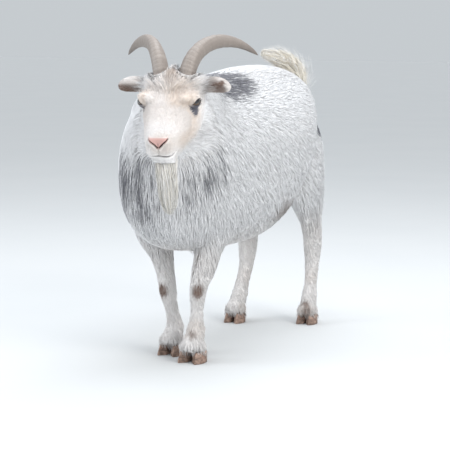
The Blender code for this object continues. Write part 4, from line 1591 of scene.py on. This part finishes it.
def horn_material():
    """Grey-brown horn with fine lines along it, dark rings and a dark tip."""
    material, tree, shader = blank_material("horn")
    horn = colours().horn
    pale, dark = colour(horn, 1.25, 0.03), colour(horn, 0.50)
    along = attribute(tree, "grown")
    keel = attribute(tree, "keel")
    rings = attribute(tree, "ring")
    stretched = maths(tree, "MULTIPLY", along, 6.0)
    fibre = put(tree, "ShaderNodeCombineXYZ", {"X": attribute(tree, "round"), "Y": stretched})
    lines = noise(tree, fibre.outputs[0], 14.0, 3.0)
    clouds = noise(tree, object_place(tree), 38.0, 4.0)
    shade = mixed(tree, steps(tree, keel, 0.35, 1.0), colour(horn), pale)
    for mask, low, high, most, turned in (
        (lines, 0.45, 0.75, 0.30, dark),
        (clouds, 0.50, 0.75, 0.45, pale),
        (rings, 0.55, 0.95, 0.22, dark),
        (along, 0.62, 1.00, 0.45, dark),
    ):
        shade = mixed(tree, steps(tree, mask, low, high, 0.0, most), shade, turned)
    height = maths(tree, "ADD", lines, clouds)
    finish(tree, shader, shade, height, 0.5, 0.0009, steps(tree, lines, 0.3, 0.7, 0.42, 0.62))
    return material


class GOAT_OT_horns(bpy.types.Operator):
    """Make the horns, with growth rings that crowd towards the root and a pale keel in front"""

    bl_idname = "goat.horns"
    bl_label = "Horns"

    def execute(self, context):
        material = horn_material()
        for side, hand in HANDS.items():
            obj = copy_of("horn_shell_" + side, ["horn_" + side])
            mesh = remeshed(obj, voxel=0.0016, rounds=6)
            points = points_of(mesh)
            normals = numbers(mesh.vertices, "normal", 3)
            root = HORN_PATH[0][0]
            path = [(hand * (root + (x - root) * HORN_SWEEP), y, z) for x, y, z in HORN_PATH]
            path = through(np.array(path), 6)
            lengths = lengths_of(path)
            head = in_head(points)
            where, _ = along_path(head, path)
            grown = where / lengths[-1]
            centre = places_on(path, lengths, where)
            tangent = unit(places_on(path, lengths, where + 0.004) - centre + 1e-6)
            out = unit(head - centre)
            front = unit(np.cross(tangent, np.array([hand, 0.25, 0.0])))
            front = front * np.sign(front[:, 2:3] + 1e-9)
            ahead = dot(out, front)[:, 0]
            keel = ramp(ahead, 0.60, 0.98)
            turns = where / (RING_PITCH * (0.65 + 0.9 * grown)) + 0.6 * mottle(points, 0.02, 21)
            ridge = 1 - abs(2 * (turns % 1) - 1)
            fade = (1 - ramp(grown, 0.55, 0.95)) * (0.55 + 0.45 * keel)
            lift = 0.0005 * fade * (ramp(ridge, 0.2, 1.0) - 0.45) + 0.0004 * keel * (1 - grown)
            move_points(mesh, points + normals * lift[:, None])
            store(mesh, "grown", grown)
            store(mesh, "ring", (1 - ramp(ridge, 0.0, 0.5)) * fade)
            store(mesh, "keel", keel * (1 - 0.6 * grown))
            store(mesh, "round", np.arctan2(ahead, dot(out, np.cross(tangent, front))[:, 0]))
            mesh.shade_smooth()
            finish_piece(obj, material, "horn", "horn_" + side)
        return {"FINISHED"}


# ---- hooves ---------------------------------------------------------------------------------------
LAYER_PITCH = 0.0032   # between the layers of the hoof
LAYER_HEIGHT = 0.00018
SOLE_DEPTH = 0.0009    # what lies under this is pressed flat on the floor


def hoof_material():
    """Brown hoof in thin level layers, paler under the hair."""
    material, tree, shader = blank_material("hoof")
    hoof = colours().hoof
    pale = colour(hoof, 1.7, 0.08)
    place = object_place(tree)
    flat = put(tree, "ShaderNodeMapping", {"Vector": place, "Scale": (0.25, 0.25, 1.0)}).outputs[0]
    layers = noise(tree, flat, 420.0, 3.0)
    clouds = noise(tree, place, 90.0, 4.0)
    height = put(tree, "ShaderNodeSeparateXYZ", {0: place}).outputs["Z"]
    shade = mixed(tree, steps(tree, layers, 0.35, 0.65), colour(hoof), colour(hoof, 0.45))
    shade = mixed(tree, steps(tree, clouds, 0.45, 0.70, 0.0, 0.6), shade, pale)
    shade = mixed(tree, steps(tree, height, 0.012, 0.027, 0.0, 0.6), shade, pale)
    finish(tree, shader, shade, layers, 0.5, 0.0006, steps(tree, clouds, 0.3, 0.7, 0.5, 0.72))
    return material


class GOAT_OT_hooves(bpy.types.Operator):
    """Make the eight claws of the cloven hooves, layered as horn grows"""

    bl_idname = "goat.hooves"
    bl_label = "Hooves"

    def execute(self, context):
        obj = copy_of("hooves", CLAWS)
        mesh = remeshed(obj, voxel=0.0011, rounds=5)
        points = points_of(mesh)
        normals = numbers(mesh.vertices, "normal", 3)
        layer = np.sin(points[:, 2] / LAYER_PITCH * 2 * pi) * ramp(points[:, 2], 0.002, 0.006)
        points = points + normals * (LAYER_HEIGHT * layer)[:, None]
        points[:, 2] = np.where(points[:, 2] < FLOOR + SOLE_DEPTH, FLOOR, points[:, 2])
        move_points(mesh, points)
        mesh.shade_smooth()
        finish_piece(obj, hoof_material(), "hoof", *CLAWS)
        return {"FINISHED"}


# ---- the studio -----------------------------------------------------------------------------------
LIGHTS = (
    # name, place, size, power, colour
    ("top_light", (0.2, 0.3, 3.2), 2.6, 62.0, (0.90, 0.94, 1.0)),
    ("key_light", (3.0, -0.9, 2.3), 1.8, 62.0, (1.0, 0.985, 0.96)),
    ("side_light", (-2.6, -1.6, 1.8), 2.0, 38.0, (0.93, 0.96, 1.0)),
)
LIGHT_AIM = Vector((0.0, 0.0, 0.4))
FLOOR_HALF = 30.0      # from the goat to the floor's edge
FLOOR_DROP = 0.0004    # how far the floor lies under the feet
SKY = (0.80, 0.84, 0.88, 1.0)
SKY_STRENGTH = 1.08
BACKDROP = (0.566, 0.600, 0.626, 1.0)
CAMERA_PLACE = Vector((1.7258, -3.2849, 0.795))
CAMERA_TURN = (radians(82.48), 0.0, radians(27.5))
CAMERA_LENS = 120.0


def soft_light(name, place, size, power, tint_of):
    """A round soft light that looks at the goat's belly."""
    light = bpy.data.lights.new(name, "AREA")
    light.shape = "DISK"
    light.size = size
    light.energy = power
    light.color = tint_of
    obj = bpy.data.objects.new(name, light)
    obj.location = place
    obj.rotation_euler = (LIGHT_AIM - Vector(place)).to_track_quat("-Z", "Y").to_euler()
    bpy.context.scene.collection.objects.link(obj)


def floor_material():
    """A pale, matt, slightly cloudy floor."""
    material, tree, shader = blank_material("studio_floor")
    clouds = noise(tree, object_place(tree), 2.0, 3.0)
    finish(tree, shader, mixed(tree, clouds, (0.60, 0.61, 0.61, 1), (0.64, 0.645, 0.64, 1)))
    set_inputs(shader, {"Roughness": 0.85})
    return material


class GOAT_OT_studio(bpy.types.Operator):
    """Set the pale floor, the soft lights and the camera"""

    bl_idname = "goat.studio"
    bl_label = "Studio"

    def execute(self, context):
        shape = bmesh.new()
        bmesh.ops.create_grid(shape, x_segments=8, y_segments=8, size=FLOOR_HALF)
        mesh = bpy.data.meshes.new("studio_floor")
        shape.to_mesh(mesh)
        shape.free()
        move_points(mesh, points_of(mesh) + np.array([0, 0, FLOOR - FLOOR_DROP]))
        floor = new_object("studio_floor", mesh)
        floor.data.materials.append(floor_material())
        world = bpy.data.worlds.new("studio")
        world.use_nodes = True
        tree = world.node_tree
        light = tree.nodes["Background"]
        set_inputs(light, {"Color": SKY, "Strength": SKY_STRENGTH})
        backdrop = put(tree, "ShaderNodeBackground", {"Color": BACKDROP})
        seen = put(tree, "ShaderNodeLightPath").outputs["Is Camera Ray"]
        chosen = put(tree, "ShaderNodeMixShader", {0: seen, 1: light.outputs[0], 2: backdrop.outputs[0]})
        tree.links.new(chosen.outputs[0], tree.nodes["World Output"].inputs["Surface"])
        context.scene.world = world
        for row in LIGHTS:
            soft_light(*row)
        lens = bpy.data.cameras.new("camera")
        lens.lens = CAMERA_LENS
        lens.sensor_width = 36.0
        camera = bpy.data.objects.new("camera", lens)
        camera.location = CAMERA_PLACE
        camera.rotation_euler = CAMERA_TURN
        context.scene.collection.objects.link(camera)
        context.scene.camera = camera
        context.scene.view_settings.view_transform = "Standard"
        return {"FINISHED"}


# ---- the add-on -----------------------------------------------------------------------------------
OPERATORS = (
    GOAT_OT_studio,
    GOAT_OT_skin,
    GOAT_OT_eyes,
    GOAT_OT_horns,
    GOAT_OT_hooves,
    GOAT_OT_body_coat,
    GOAT_OT_leg_coat,
    GOAT_OT_head_coat,
    GOAT_OT_beard_and_tail,
)


class GOAT_PT_panel(bpy.types.Panel):
    """Lists the goat's sizes, colours and pieces"""

    bl_idname = "GOAT_PT_panel"
    bl_label = "Museum Goat"
    bl_space_type = "VIEW_3D"
    bl_region_type = "UI"
    bl_category = "Goat"

    def draw(self, context):
        layout = self.layout
        for settings in (context.scene.goat_sizes, context.scene.goat_colours):
            for name in settings.__annotations__:
                layout.prop(settings, name)
        for operator in OPERATORS:
            layout.operator(operator.bl_idname)


CLASSES = (GoatSizes, GoatColours, *OPERATORS, GOAT_PT_panel)


def register():
    for cls in CLASSES:
        bpy.utils.register_class(cls)
    bpy.types.Scene.goat_sizes = bpy.props.PointerProperty(type=GoatSizes)
    bpy.types.Scene.goat_colours = bpy.props.PointerProperty(type=GoatColours)


def unregister():
    del bpy.types.Scene.goat_colours
    del bpy.types.Scene.goat_sizes
    for cls in reversed(CLASSES):
        bpy.utils.unregister_class(cls)


def main():
    register()
    for operator in OPERATORS:
        area, name = operator.bl_idname.split(".")
        getattr(getattr(bpy.ops, area), name)()


if __name__ == "__main__":
    main()
